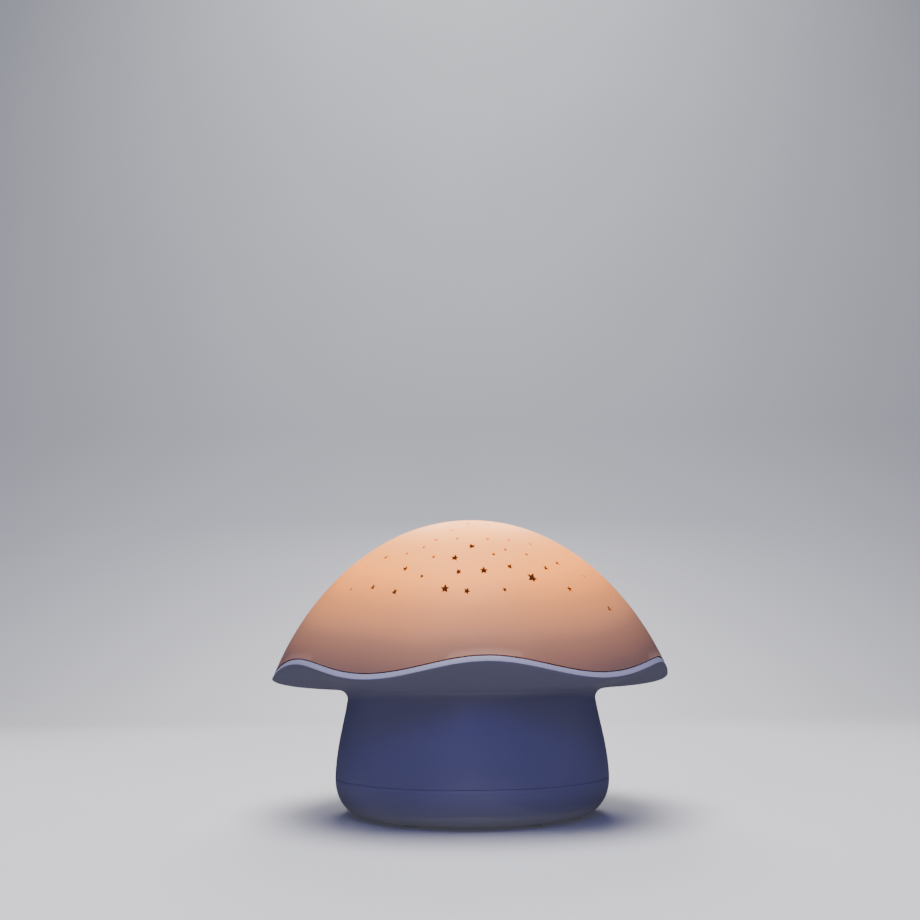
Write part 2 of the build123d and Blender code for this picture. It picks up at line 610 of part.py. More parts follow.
with BuildPart() as base_shell:
    with BuildSketch(Plane.XZ):
        with BuildLine():
            foot_profile(0)
        make_face()
    revolve(axis=Axis.Z)
    with BuildSketch(Plane.XZ):
        with BuildLine():
            foot_profile(BODY_WALL)
        make_face()
    revolve(axis=Axis.Z, mode=Mode.SUBTRACT)
    # Lip that centres the stem, on a thicker ring inside the wall
    lip_outside = STEM_INSIDE - LIP_GAP
    with BuildSketch(Plane.XY.offset(BASE_TOP - LIP_HEIGHT)):
        Circle(BELLY_RADIUS - BODY_WALL / 2)
        Circle(lip_outside - LIP_WALL, mode=Mode.SUBTRACT)
    extrude(amount=LIP_HEIGHT)
    with BuildSketch(Plane.XY.offset(BASE_TOP)):
        Circle(lip_outside)
        Circle(lip_outside - LIP_WALL, mode=Mode.SUBTRACT)
    extrude(amount=SEAM_GAP + LIP_HEIGHT)
    # Cell bay with a wider foot, and the posts for the base screws
    with BuildSketch(Plane.XY.offset(FITTING_BOTTOM)):
        Rectangle(BAY_LENGTH + 2 * BAY_WALL, BAY_WIDTH + 2 * BAY_WALL)
    extrude(amount=BAY_TOP - FITTING_BOTTOM)
    with BuildSketch(Plane.XY.offset(FITTING_BOTTOM)):
        Rectangle(BAY_LENGTH + 4 * BAY_WALL, BAY_WIDTH + 4 * BAY_WALL)
    extrude(amount=BODY_WALL)
    with BuildSketch(Plane.XY.offset(FITTING_BOTTOM)):
        with Locations(*BASE_SCREW_PLACES):
            Circle(BASE_POST_DIAMETER / 2)
    extrude(amount=BASE_POST_TOP - FITTING_BOTTOM)
    with BuildSketch(Plane.XY.offset(FITTING_BOTTOM)):
        with Locations((DOOR_SCREW_X, 0)):
            Circle(DOOR_BOSS_DIAMETER / 2)
    extrude(amount=DOOR_SCREW_LENGTH + DOOR_THICKNESS)
    with BuildSketch(Plane.XY.offset(BAY_TOP)):
        with Locations(*STANDOFF_PLACES):
            Circle(STANDOFF_DIAMETER / 2)
    extrude(amount=STANDOFF_HEIGHT)
    # Openings: the bay, the door's recess, slots for its tongues and for the contacts' tabs
    with BuildSketch(Plane.XY.offset(BASE_BOTTOM)):
        Rectangle(BAY_LENGTH, BAY_WIDTH)
    extrude(amount=BAY_CEILING - BASE_BOTTOM, mode=Mode.SUBTRACT)
    with BuildSketch(Plane.XY.offset(BASE_BOTTOM)):
        door_outline(DOOR_GAP)
    extrude(amount=DOOR_THICKNESS + TONGUE_LIFT, mode=Mode.SUBTRACT)
    with BuildSketch(Plane.XY.offset(DOOR_TOP)):
        with Locations((-slot_left, -TONGUE_Y), (-slot_left, TONGUE_Y)):
            slot_width = TONGUE_WIDTH + 2 * DOOR_GAP
            Rectangle(slot_left - slot_right, slot_width, align=(Align.MIN, Align.CENTER))
    extrude(amount=tongue_top - DOOR_TOP + TONGUE_SWING, mode=Mode.SUBTRACT)
    with BuildSketch(Plane.XY.offset(BAY_CEILING)):
        with Locations((-contact_x, -CELL_PITCH), (contact_x, CELL_PITCH)):
            Rectangle(3 * CONTACT_THICKNESS, TAB_WIDTH + 2 * TAB_GAP)
    extrude(amount=BAY_WALL, mode=Mode.SUBTRACT)
    # Screw holes and the recesses of the foot pads
    with BuildSketch(Plane.XY.offset(BASE_BOTTOM)):
        with Locations(*BASE_SCREW_PLACES):
            Circle(BASE_SCREW_BORE / 2)
    extrude(amount=BASE_POST_TOP, mode=Mode.SUBTRACT)
    with BuildSketch(Plane.XY.offset(BASE_BOTTOM)):
        with Locations(*BASE_SCREW_PLACES):
            Circle(BASE_SCREW_HEAD / 2 + DOOR_GAP)
    extrude(amount=BASE_SCREW_POCKET, mode=Mode.SUBTRACT)
    with BuildSketch(Plane.XY.offset(BASE_BOTTOM)):
        with Locations((DOOR_SCREW_X, 0)):
            Circle(DOOR_SCREW_BORE / 2)
    extrude(amount=DOOR_SCREW_LENGTH + DOOR_THICKNESS, mode=Mode.SUBTRACT)
    with BuildSketch(Plane.XY.offset(MAIN_BOARD_BOTTOM)):
        with Locations(*STANDOFF_PLACES):
            Circle(SMALL_SCREW_SHANK / 2 + PILOT_GAP)
    extrude(amount=BOARD_THICKNESS - SMALL_SCREW_LENGTH - PILOT_GAP, mode=Mode.SUBTRACT)
    with BuildSketch(Plane.XY.offset(BASE_BOTTOM)):
        with Locations(*PAD_PLACES):
            Circle(PAD_DIAMETER / 2 + PAD_GAP)
    extrude(amount=PAD_RECESS, mode=Mode.SUBTRACT)
save(base_shell.part, "base_shell")

with BuildPart() as battery_door:
    with BuildSketch(Plane.XY.offset(BASE_BOTTOM)):
        door_outline(0)
    extrude(amount=DOOR_THICKNESS)
    with BuildSketch(Plane.XY.offset(DOOR_TOP)):
        with Locations((tongue_root, -TONGUE_Y), (tongue_root, TONGUE_Y)):
            Rectangle(DOOR_SEAT, TONGUE_WIDTH, align=(Align.MAX, Align.CENTER))
    extrude(amount=tongue_top - DOOR_TOP)
    with BuildSketch(Plane.XY.offset(tongue_top)):
        with Locations((tongue_root, -TONGUE_Y), (tongue_root, TONGUE_Y)):
            Rectangle(DOOR_SEAT + TONGUE_LENGTH, TONGUE_WIDTH, align=(Align.MAX, Align.CENTER))
    extrude(amount=-TONGUE_THICKNESS)
    with BuildSketch(Plane.XY.offset(BASE_BOTTOM)):
        with Locations((DOOR_SCREW_X, 0)):
            Circle(DOOR_SCREW_HEAD / 2 + DOOR_GAP)
    extrude(amount=DOOR_SCREW_SINK, mode=Mode.SUBTRACT)
    with BuildSketch(Plane.XY.offset(BASE_BOTTOM)):
        with Locations((DOOR_SCREW_X, 0)):
            Circle(DOOR_SCREW_SHANK / 2 + DOOR_SCREW_FIT)
    extrude(amount=DOOR_THICKNESS, mode=Mode.SUBTRACT)
    # Finger grip across the free end
    with BuildSketch(Plane.XY.offset(BASE_BOTTOM)):
        with Locations((DOOR_LENGTH / 2 - 3 * NOTCH_DEPTH, 0)):
            SlotOverall(NOTCH_WIDTH, 2 * NOTCH_DEPTH, rotation=90)
    extrude(amount=NOTCH_DEPTH, mode=Mode.SUBTRACT)
save(battery_door.part, "battery_door")

door_screw = pan_screws(
    Plane((0, 0, BASE_BOTTOM + DOOR_SCREW_SINK), x_dir=(1, 0, 0), z_dir=(0, 0, -1)),
    [(DOOR_SCREW_X, 0)],
    DOOR_SCREW_HEAD, DOOR_SCREW_HEAD_HEIGHT, DOOR_SCREW_SHANK, DOOR_SCREW_LENGTH,
)
save(door_screw, "battery_door_screw")

base_screws = pan_screws(
    Plane((0, 0, BASE_BOTTOM + BASE_SCREW_POCKET), x_dir=(1, 0, 0), z_dir=(0, 0, -1)),
    BASE_SCREW_PLACES,
    BASE_SCREW_HEAD, BASE_SCREW_HEAD_HEIGHT, BASE_SCREW_SHANK, BASE_SCREW_LENGTH,
)
save(base_screws, "base_screws")

for number, (x, y) in enumerate(PAD_PLACES, start=1):
    with BuildPart() as foot_pad:
        with BuildSketch(Plane.XY):
            with Locations((x, y)):
                Circle(PAD_DIAMETER / 2)
        extrude(amount=PAD_PROUD + PAD_RECESS)
        chamfer(foot_pad.edges().group_by(Axis.Z)[0], PAD_PROUD / 4)
    save(foot_pad.part, f"foot_pad_{number}")

# ---- cells and contacts -------------------------------------------------------------------------


def contact_spring(direction, y):
    """Coil from a contact plate towards a cell's flat end. direction is +1 at the left end."""
    start = -direction * (BAY_LENGTH / 2 - CONTACT_THICKNESS)
    run = SPRING_LENGTH - SPRING_WIRE - 2 * PILOT_GAP
    with BuildPart() as spring:
        with BuildLine() as coil:
            Helix(
                pitch=run / SPRING_TURNS,
                height=run,
                radius=SPRING_RADIUS,
                center=(start + direction * (SPRING_WIRE / 2 - PILOT_GAP), y, CELL_AXIS),
                direction=(direction, 0, 0),
            )
        with BuildSketch(Plane(coil.line @ 0, z_dir=coil.line % 0)):
            Circle(SPRING_WIRE / 2)
        sweep(is_frenet=True)
    return spring.part


def contact_plate(direction, low_y, high_y, tab_y=None):
    """Flat contact at one end of the bay. A tab goes up through the bay's ceiling to take a lead."""
    x = -direction * BAY_LENGTH / 2
    with BuildPart() as plate:
        with BuildSketch(Plane.YZ.offset(x)):
            with Locations(((low_y + high_y) / 2, CELL_AXIS)):
                Rectangle(high_y - low_y + CONTACT_WIDTH, CONTACT_HEIGHT)
            if tab_y is not None:
                with Locations((tab_y, CELL_AXIS)):
                    Rectangle(TAB_WIDTH, TAB_TOP - CELL_AXIS, align=(Align.CENTER, Align.MIN))
        extrude(amount=direction * CONTACT_THICKNESS)
    return plate.part


cell_places = [(index - (CELL_COUNT - 1) / 2) * CELL_PITCH for index in range(CELL_COUNT)]
for index, y in enumerate(cell_places):
    # Cells lie head to tail, so that neighbours join in series
    toward = 1 if index % 2 == 0 else -1
    nub_end = toward * (BAY_LENGTH / 2 - CONTACT_THICKNESS)
    with BuildPart() as battery_cell:
        with BuildSketch(Plane.YZ.offset(nub_end - toward * CELL_LENGTH)):
            with Locations((y, CELL_AXIS)):
                Circle(CELL_DIAMETER / 2)
        extrude(amount=toward * (CELL_LENGTH - CELL_NUB_HEIGHT))
        fillet(battery_cell.edges().filter_by(GeomType.CIRCLE), CELL_EDGE)
        with BuildSketch(Plane.YZ.offset(nub_end - toward * CELL_NUB_HEIGHT)):
            with Locations((y, CELL_AXIS)):
                Circle(CELL_NUB_DIAMETER / 2)
        extrude(amount=toward * CELL_NUB_HEIGHT)
    save(battery_cell.part, f"battery_cell_{index + 1}")

with BuildPart() as contact_negative:
    add(contact_plate(1, cell_places[0], cell_places[0], tab_y=cell_places[0]))
    add(contact_spring(1, cell_places[0]))
save(contact_negative.part, "contact_negative")

with BuildPart() as contact_positive:
    add(contact_plate(-1, cell_places[-1], cell_places[-1], tab_y=cell_places[-1]))
save(contact_positive.part, "contact_positive")

with BuildPart() as contact_bridge_left:
    add(contact_plate(1, cell_places[1], cell_places[2]))
    add(contact_spring(1, cell_places[2]))
save(contact_bridge_left.part, "contact_bridge_left")

with BuildPart() as contact_bridge_right:
    add(contact_plate(-1, cell_places[0], cell_places[1]))
    add(contact_spring(-1, cell_places[1]))
save(contact_bridge_right.part, "contact_bridge_right")

# ---- lamp tray ----------------------------------------------------------------------------------

lamp_screw_places = [(-LAMP_SCREW_PLACE, 0), (LAMP_SCREW_PLACE, 0)]

with BuildPart() as light_tray:
    with BuildSketch(Plane.XY.offset(TRAY_HEIGHT)):
        Circle(stem_radius(TRAY_HEIGHT) - BODY_WALL - TRAY_GAP)
    extrude(amount=TRAY_THICKNESS)
    with BuildSketch(Plane.XY.offset(TRAY_HEIGHT)):
        Circle(POST_DIAMETER / 2)
    extrude(amount=LAMP_BOARD_BOTTOM - TRAY_HEIGHT)
    tray_rings = light_tray.edges().filter_by(GeomType.CIRCLE).group_by(Axis.Z)[1]
    fillet(tray_rings.sort_by(SortBy.RADIUS)[0], TRAY_THICKNESS)
    with BuildSketch(Plane.XY.offset(TRAY_HEIGHT)):
        Circle(POST_BORE / 2)
        with Locations(*TRAY_PLACES):
            Circle(SMALL_SCREW_SHANK / 2 + PILOT_GAP)
    extrude(amount=LAMP_BOARD_BOTTOM - TRAY_HEIGHT, mode=Mode.SUBTRACT)
    with BuildSketch(Plane.XY.offset(LAMP_BOARD_BOTTOM)):
        with Locations(*lamp_screw_places):
            Circle(SMALL_SCREW_SHANK / 2 + PILOT_GAP)
    extrude(amount=-SMALL_SCREW_LENGTH, mode=Mode.SUBTRACT)
save(light_tray.part, "light_tray")

tray_screws = pan_screws(
    Plane.XY.offset(TRAY_TOP), TRAY_PLACES,
    SMALL_SCREW_HEAD, SMALL_SCREW_HEAD_HEIGHT, SMALL_SCREW_SHANK, SMALL_SCREW_LENGTH,
)
save(tray_screws, "light_tray_screws")

with BuildPart() as lamp_board:
    with BuildSketch(Plane.XY.offset(LAMP_BOARD_BOTTOM)):
        Circle(LAMP_BOARD_DIAMETER / 2)
        with Locations(*lamp_screw_places):
            Circle(SMALL_SCREW_SHANK / 2 + PILOT_GAP, mode=Mode.SUBTRACT)
    extrude(amount=BOARD_THICKNESS)
save(lamp_board.part, "lamp_board")

lamp_screws = pan_screws(
    Plane.XY.offset(LAMP_BOARD_TOP), lamp_screw_places,
    SMALL_SCREW_HEAD, SMALL_SCREW_HEAD_HEIGHT, SMALL_SCREW_SHANK, SMALL_SCREW_LENGTH,
)
save(lamp_screws, "lamp_board_screws")

with BuildPart() as lamp_emitter:
    with BuildSketch(Plane.XY.offset(LAMP_BOARD_TOP)):
        Rectangle(LED_WIDTH, LED_WIDTH)
    extrude(amount=LED_HEIGHT)
    with Locations((0, 0, LAMP_HEIGHT)):
        Sphere(LENS_RADIUS, arc_size1=0, align=(Align.CENTER, Align.CENTER, Align.MIN))
save(lamp_emitter.part, "lamp_emitter")

# ---- main board ---------------------------------------------------------------------------------

with BuildPart() as main_board:
    with BuildSketch(Plane.XY.offset(MAIN_BOARD_BOTTOM)):
        RectangleRounded(MAIN_BOARD_LENGTH, MAIN_BOARD_WIDTH, BOARD_THICKNESS)
        with Locations(*STANDOFF_PLACES):
            Circle(SMALL_SCREW_SHANK / 2 + PILOT_GAP, mode=Mode.SUBTRACT)
    extrude(amount=BOARD_THICKNESS)
save(main_board.part, "main_board")

main_screws = pan_screws(
    Plane.XY.offset(MAIN_BOARD_TOP), STANDOFF_PLACES,
    SMALL_SCREW_HEAD, SMALL_SCREW_HEAD_HEIGHT, SMALL_SCREW_SHANK, SMALL_SCREW_LENGTH,
)
save(main_screws, "main_board_screws")

with BuildPart() as controller_chip:
    with BuildSketch(Plane.XY.offset(MAIN_BOARD_TOP)):
        with Locations((CHIP_X, CHIP_Y)):
            Rectangle(CHIP_LENGTH, CHIP_WIDTH)
    extrude(amount=CHIP_HEIGHT)
save(controller_chip.part, "controller_chip")

with BuildPart() as storage_capacitor:
    with BuildSketch(Plane.XY.offset(MAIN_BOARD_TOP)):
        with Locations((-CHIP_X, CHIP_Y)):
            Circle(CAPACITOR_DIAMETER / 2)
    extrude(amount=CAPACITOR_HEIGHT)
    fillet(storage_capacitor.edges().group_by(Axis.Z)[-1], CELL_EDGE)
save(storage_capacitor.part, "storage_capacitor")

socket_places = [(-SOCKET_PITCH, SOCKET_Y), (0, SOCKET_Y), (SOCKET_PITCH, SOCKET_Y)]
socket_top = MAIN_BOARD_TOP + SOCKET_HEIGHT
with BuildPart() as lead_sockets:
    with BuildSketch(Plane.XY.offset(MAIN_BOARD_TOP)):
        with Locations(*socket_places):
            Rectangle(SOCKET_LENGTH, SOCKET_WIDTH)
    extrude(amount=SOCKET_HEIGHT)
save(lead_sockets.part, "lead_sockets")

# ---- power button and switch --------------------------------------------------------------------

with BuildPart() as power_button:
    with BuildSketch(button_plane.offset(-GUIDE_DEPTH - FLANGE_GAP)):
        Circle(BUTTON_DIAMETER / 2)
    extrude(amount=GUIDE_DEPTH + FLANGE_GAP + BUTTON_PROUD)
    button_axis = Axis(button_plane.origin, button_plane.z_dir)
    fillet(power_button.faces().sort_by(button_axis)[-1].edges(), BUTTON_DOME)
    with BuildSketch(button_plane.offset(-GUIDE_DEPTH - FLANGE_GAP)):
        Circle(FLANGE_DIAMETER / 2)
    extrude(amount=-FLANGE_THICKNESS)
    with BuildSketch(button_plane.offset(-GUIDE_DEPTH)):
        Circle(PUSHER_DIAMETER / 2)
    extrude(amount=GUIDE_DEPTH - SWITCH_DEPTH + PLUNGER_FIT)
save(power_button.part, "power_button")

with BuildPart() as switch_plunger:
    with BuildSketch(button_plane.offset(-SWITCH_DEPTH)):
        Circle(PLUNGER_DIAMETER / 2)
    extrude(amount=-PLUNGER_REACH - BUTTON_TRAVEL)
save(switch_plunger.part, "switch_plunger")

with BuildPart() as switch_body:
    with BuildSketch(button_plane.offset(-switch_board_front)):
        Rectangle(SWITCH_WIDTH, SWITCH_WIDTH)
    extrude(amount=SWITCH_HEIGHT)
    with BuildSketch(button_plane.offset(-switch_body_top)):
        Circle(PLUNGER_DIAMETER / 2 + PLUNGER_FIT)
    extrude(amount=-3 * BUTTON_TRAVEL, mode=Mode.SUBTRACT)
save(switch_body.part, "switch_body")

with BuildPart() as switch_board:
    with BuildSketch(button_plane.offset(-switch_board_front)):
        Rectangle(SWITCH_BOARD_LENGTH, SWITCH_BOARD_HEIGHT)
        with Locations(*switch_posts):
            Circle(SMALL_SCREW_SHANK / 2 + PILOT_GAP, mode=Mode.SUBTRACT)
    extrude(amount=-BOARD_THICKNESS)
save(switch_board.part, "switch_board")

switch_back = button_plane.offset(-switch_board_front - BOARD_THICKNESS)
switch_screws = pan_screws(
    Plane(switch_back.origin, x_dir=switch_back.x_dir, z_dir=-switch_back.z_dir),
    switch_posts,
    SMALL_SCREW_HEAD, SMALL_SCREW_HEAD_HEIGHT, SMALL_SCREW_SHANK, SMALL_SCREW_LENGTH,
)
save(switch_screws, "switch_board_screws")

# ---- leads --------------------------------------------------------------------------------------


def lead_pair(routes):
    """Two insulated leads, each along its own route of straight runs with rounded corners."""
    with BuildPart() as leads:
        for route in routes:
            with BuildLine() as path:
                FilletPolyline(*route, radius=LEAD_BEND)
            with BuildSketch(Plane(path.line @ 0, z_dir=path.line % 0)):
                Circle(LEAD_DIAMETER / 2)
            sweep(path=path.line)
    return leads.part


lead_half = LEAD_SPACING / 2
low_run = socket_top + LEAD_LOOP
high_run = low_run + LEAD_LOOP
battery_leads = lead_pair([
    [
        (-contact_x, cell_places[0], TAB_TOP),
        (-contact_x, cell_places[0], low_run),
        (-SOCKET_PITCH - lead_half, SOCKET_Y, low_run),
        (-SOCKET_PITCH - lead_half, SOCKET_Y, socket_top),
    ],
    [
        (contact_x, cell_places[-1], TAB_TOP),
        (contact_x, cell_places[-1], high_run),
        (-SOCKET_PITCH + lead_half, SOCKET_Y, high_run),
        (-SOCKET_PITCH + lead_half, SOCKET_Y, socket_top),
    ],
])
save(battery_leads, "battery_leads")

lamp_leads = lead_pair([
    [
        (side * lead_half, SOCKET_Y, socket_top),
        (side * lead_half, SOCKET_Y, TRAY_HEIGHT - LEAD_LOOP),
        (side * lead_half, 0, TRAY_HEIGHT - LEAD_LOOP),
        (side * lead_half, 0, LAMP_BOARD_BOTTOM),
    ]
    for side in (-1, 1)
])
save(lamp_leads, "lamp_leads")

# The switch leads meet the back of their board squarely, above its screws
lead_end = switch_back.origin + switch_back.y_dir * LEAD_LOOP
lead_turn = lead_end - switch_back.z_dir * LEAD_LOOP
switch_leads = lead_pair([
    [
        (SOCKET_PITCH + side * lead_half, SOCKET_Y, socket_top),
        (SOCKET_PITCH + side * lead_half, SOCKET_Y, low_run),
        (SOCKET_PITCH + side * lead_half, lead_turn.Y, lead_turn.Z),
        (SOCKET_PITCH + side * lead_half, lead_end.Y, lead_end.Z),
    ]
    for side in (-1, 1)
])
save(switch_leads, "switch_leads")
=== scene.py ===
"""Mushroom night light: peach cap, lilac body and what they hold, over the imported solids.

Metres, +Z up, front at -Y. Azimuths turn round Z from the front towards +X.
"""
from math import acos, atan2, cos, degrees, exp, hypot, pi, radians, sin, sqrt, tau

import bpy
from bpy.props import FloatProperty, FloatVectorProperty, PointerProperty
from mathutils import Matrix, Vector


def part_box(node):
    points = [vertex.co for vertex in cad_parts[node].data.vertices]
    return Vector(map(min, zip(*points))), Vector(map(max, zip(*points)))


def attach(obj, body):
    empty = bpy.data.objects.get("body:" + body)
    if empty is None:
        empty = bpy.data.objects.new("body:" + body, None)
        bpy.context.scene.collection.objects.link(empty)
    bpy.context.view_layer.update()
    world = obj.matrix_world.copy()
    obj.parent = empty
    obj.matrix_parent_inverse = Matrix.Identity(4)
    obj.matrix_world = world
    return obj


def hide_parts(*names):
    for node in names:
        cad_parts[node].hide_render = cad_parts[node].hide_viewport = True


bl_info = {
    "name": "Mushroom night light",
    "version": (1, 0, 0),
    "blender": (4, 5, 0),
    "location": "View3D > Sidebar > Night light",
    "description": "Models and finishes a mushroom night light over its packed solids",
    "category": "Object",
}

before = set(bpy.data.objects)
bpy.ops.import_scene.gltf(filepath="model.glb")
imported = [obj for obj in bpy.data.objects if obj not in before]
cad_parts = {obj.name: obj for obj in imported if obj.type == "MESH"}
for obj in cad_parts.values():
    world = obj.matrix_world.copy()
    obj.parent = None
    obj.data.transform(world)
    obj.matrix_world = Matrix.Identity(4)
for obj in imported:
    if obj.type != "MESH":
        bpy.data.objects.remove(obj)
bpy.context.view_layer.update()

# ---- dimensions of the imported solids, in metres ----

# Cap: tangent arcs from the apex down, as (radius, slope where it ends in degrees)
TOTAL_HEIGHT = 0.110
CAP_ARCS = ((0.0683, 30.5), (0.0867, 48.5), (0.103, 90.0))
CAP_EDGE_GAP = 0.0002
CAP_EDGE = 0.0002
WAVE_FADES_AT = 0.085

# Painted glow and painted shade of the cap, centred forward of its axis: distances across count by
# its breadth, and the fade stops say what is left of the glow at each part of its reach.
PAINTED_LIGHT_CENTRE = (0.0, -0.020, 0.100)
PAINTED_LIGHT_REACH = 0.080
PAINTED_LIGHT_BREADTH = 0.95
PAINTED_GLOW_FADES = (
    (0.15, 1.0), (0.32, 0.68), (0.52, 0.64), (0.575, 0.49), (0.625, 0.37), (0.675, 0.24),
    (0.725, 0.18), (0.775, 0.11), (0.825, 0.035), (0.95, 0.0),
)

# Wavy rim between cap and brim, its turns in degrees
RIM_HEIGHT = 0.0531
RIM_WAVE = 0.00265
LOBES = 6
LOBE_TURN = 4.0
WIDE_LOBE_AT = 65.0
WIDE_LOBE_BY = 4.5
WIDE_LOBE_REACH = 22
BEAD_PROUD = 0.0007
RING_HEIGHT = 0.0025
RING_WALL = 0.0015
RING_GAP = 0.0003

# Stem and foot
BELLY_RADIUS = 0.0513
WAIST_RADIUS = 0.0474
WAIST_HEIGHT = 0.042
STEM_FULLNESS = 1.3
FILLET_HEIGHT = 0.0414
BRIM_FILLET = 0.0035
BRIM_CURVE = ((0.0642, 0.0470), (0.07247, 0.04919))
SEAM_HEIGHT = 0.0135
SEAM_GAP = 0.0002
SEAM_EDGE = 0.00012
LIP_HEIGHT = 0.003
LIP_WALL = 0.0016
LIP_GAP = 0.00015
FOOT_FLAT_RADIUS = 0.0415
BASE_BOTTOM = 0.0008
PAD_RADIUS = 0.004
PAD_RECESS = 0.0007

# Stars, cut along rays from the lamp: (azimuth, angle from the vertical, size) for a third of them.
# Their walls carry the cap's painted glow and painted shade down a set depth under its skin.
LAMP_HEIGHT = 0.056
STAR_SPANS = {"S": 0.0019, "M": 0.0026, "L": 0.0033, "XL": 0.0042}
STAR_STRETCH = 1.25
STAR_POINTS = 5
STAR_WAIST = 0.48
STAR_SPIN = 47
FIELD_SPIN = 29
STAR_FIELDS = 3
CUT_REACH = 0.004
PAINTED_GLOW_DEPTH = 0.0005
MOON_SPAN = 0.005
MOON_BITE = 0.0021
MOON_SHIFT = 0.0011
MOON_AZIMUTH = 181.0
MOON_POLAR = 40.0
STAR_MAP = (
    (-8, 70, "L"), (-1, 71, "M"), (11, 70.5, "S"), (5, 62.5, "L"), (22, 65.5, "XL"), (-4, 63, "M"),
    (-6, 56, "L"), (15, 60.5, "M"), (1, 49, "L"), (-25, 60.5, "M"), (-17, 64.5, "S"),
    (-25, 70.5, "M"), (-15, 55, "S"), (10, 54, "S"), (16, 51, "S"), (21, 44, "S"), (25, 53.5, "S"),
    (32, 46, "S"), (30, 60.5, "M"), (38, 57.5, "M"), (35, 69.5, "M"), (-6.5, 43, "S"),
    (9.5, 43.5, "S"), (-18, 43.5, "S"), (-22, 48.5, "S"), (-29, 52, "S"), (-40, 53, "M"),
    (-1, 26, "M"), (-11.5, 35, "S"), (16, 28, "S"), (-46, 68, "S"), (-35, 68, "M"),
    (-48, 57, "S"), (49, 76, "M"), (58, 70, "S"), (48, 63, "S"),
)

# Power button at the rear of the stem: its place, and what it turns the vertical to
BUTTON_TILT = 10.77
BUTTON_PLACE = Vector((0.0, 0.0494696, 0.030))
BUTTON_RADIUS = 0.007
BUTTON_BORE = 0.0071
BUTTON_FRAME = Matrix.Translation(BUTTON_PLACE) @ Matrix.Rotation(radians(BUTTON_TILT - 90), 4, "X")
SWITCH_BOARD_FRONT = 0.0122
SWITCH_BOARD_BACK = 0.0138
SWITCH_POST_X = 0.0115

# Underside: cell bay, door and screws
BAY_LOW = Vector((-0.02825, -0.0233, 0.0))
BAY_HIGH = Vector((0.02825, 0.0233, 0.0182))
BAY_WALL = 0.0018
DOOR_HALF_LENGTH = 0.02945
DOOR_HALF_WIDTH = 0.0245
DOOR_TOP = 0.0028
DOOR_GAP = 0.0003
DOOR_SCREW_X = 0.03275
DOOR_SCREW_SEAT = 0.00205
TONGUE_Y = 0.006
EAR_RADIUS = 0.0045
CELL_RADIUS = 0.00725
CELL_AXIS = 0.01055
CELL_PITCH = 0.0152
CELL_LENGTH = 0.0505
BASE_SCREW_X = 0.0345
BASE_SCREW_Y = 0.015
PAD_X = 0.020
PAD_Y = 0.031
TRAY_BOSS_PLACE = 0.0385
TRAY_BOSS_TURNS = (30, 150, 270)
BOARD_POST_X = 0.0195
BOARD_POST_Y = 0.0135
SCREW_POST = 0.004

# Screws: head diameter, head height, shank diameter, length
DOOR_SCREW = (0.005, 0.0012, 0.0026, 0.0063)
BASE_SCREW = (0.0054, 0.0018, 0.0029, 0.016)
BOARD_SCREW = (0.0038, 0.0012, 0.002, 0.004)

# Modelling and texture: steps of a turn, points that count as one, grain and patches per metre
SPIN_STEPS = 216
SAME_POINT = 0.000001
GRAIN = 2600.0
PATCHES = 70.0

# Stage: where the floor starts, its width, where it bends up, the bend's radius, the wall's top
FLOOR_START = -1.6
FLOOR_WIDTH = 6.0
BEND_AT = 0.75
BEND_RADIUS = 0.5
WALL_TOP = 2.6

# Soft lights: name, place, the point it faces, side, watts, colour
SOFT_LIGHTS = (
    ("key_softbox", (-0.05, -0.28, 1.05), (0, 0, 0.06), 0.7, 13.0, (1.0, 0.98, 0.96)),
    ("left_softbox", (-1.1, -0.7, 0.55), (0, 0, 0.05), 0.8, 0.08, (0.85, 0.90, 1.0)),
    ("right_softbox", (1.1, -0.5, 0.5), (0, 0, 0.05), 0.8, 0.08, (0.85, 0.90, 1.0)),
    ("wall_wash", (0, 0.35, 1.9), (0, 1.3, 0.7), 0.9, 14.0, (1.0, 1.0, 1.0)),
    ("front_softbox", (0, -0.95, 0.60), (0, 0, 0.03), 0.3, 0.95, (0.1, 0.12, 1.0)),
    ("back_softbox", (0, 0.9, 0.75), (0, 0, 0.08), 0.5, 6.0, (1.0, 0.97, 0.94)),
    ("under_softbox", (0, -0.15, -0.35), (0, 0, 0.03), 0.3, 0.26, (1.0, 0.99, 0.82)),
    ("low_softbox", (0, -0.6, 0.03), (0, 0, 0.07), 0.25, 0.11, (1.0, 0.92, 0.78)),
)

# Camera at the front: its place, and its turn, tilt above the level and roll in radians
CAMERA_PLACE = (0.0, -0.360, 0.04863)
CAMERA_TURN, CAMERA_TILT, CAMERA_ROLL = 0.0099, 0.2385, -0.0086
CAMERA_LENS = 35.27


# ---- sizes and colours that can be changed ----

def length(name, default, low, high, description):
    """A length that can be changed."""
    return FloatProperty(
        name=name, description=description, default=default, min=low, max=high, unit="LENGTH",
    )


def tint(name, default, description):
    """A colour that can be changed."""
    return FloatVectorProperty(
        name=name, description=description, default=default, size=3, min=0.0, max=1.0,
        subtype="COLOR",
    )


class NightLightSizes(bpy.types.PropertyGroup):
    """Walls, softened edges and surface texture."""

    cap_wall: length("Cap wall", 0.002, 0.001, 0.004, "Thickness of the peach cap")
    body_wall: length("Body wall", 0.0022, 0.001, 0.004, "Thickness of the stem, brim and foot")
    band_height: length(
        "Band height", 0.0019, 0.0012, 0.0025, "Height of the wavy band round the cap",
    )
    edge_radius: length("Edge radius", 0.0003, 0.0001, 0.0005, "Rounding of moulded edges")
    grain_depth: length("Grain depth", 0.00001, 0.0, 0.0001, "Depth of the moulded grain")
    # Strength of the painted glow, an emission painted into the cap's colour.
    glow: FloatProperty(
        name="Glow", description="How strongly the cap glows from the lamp inside",
        default=2.7, min=0.0, max=6.0,
    )


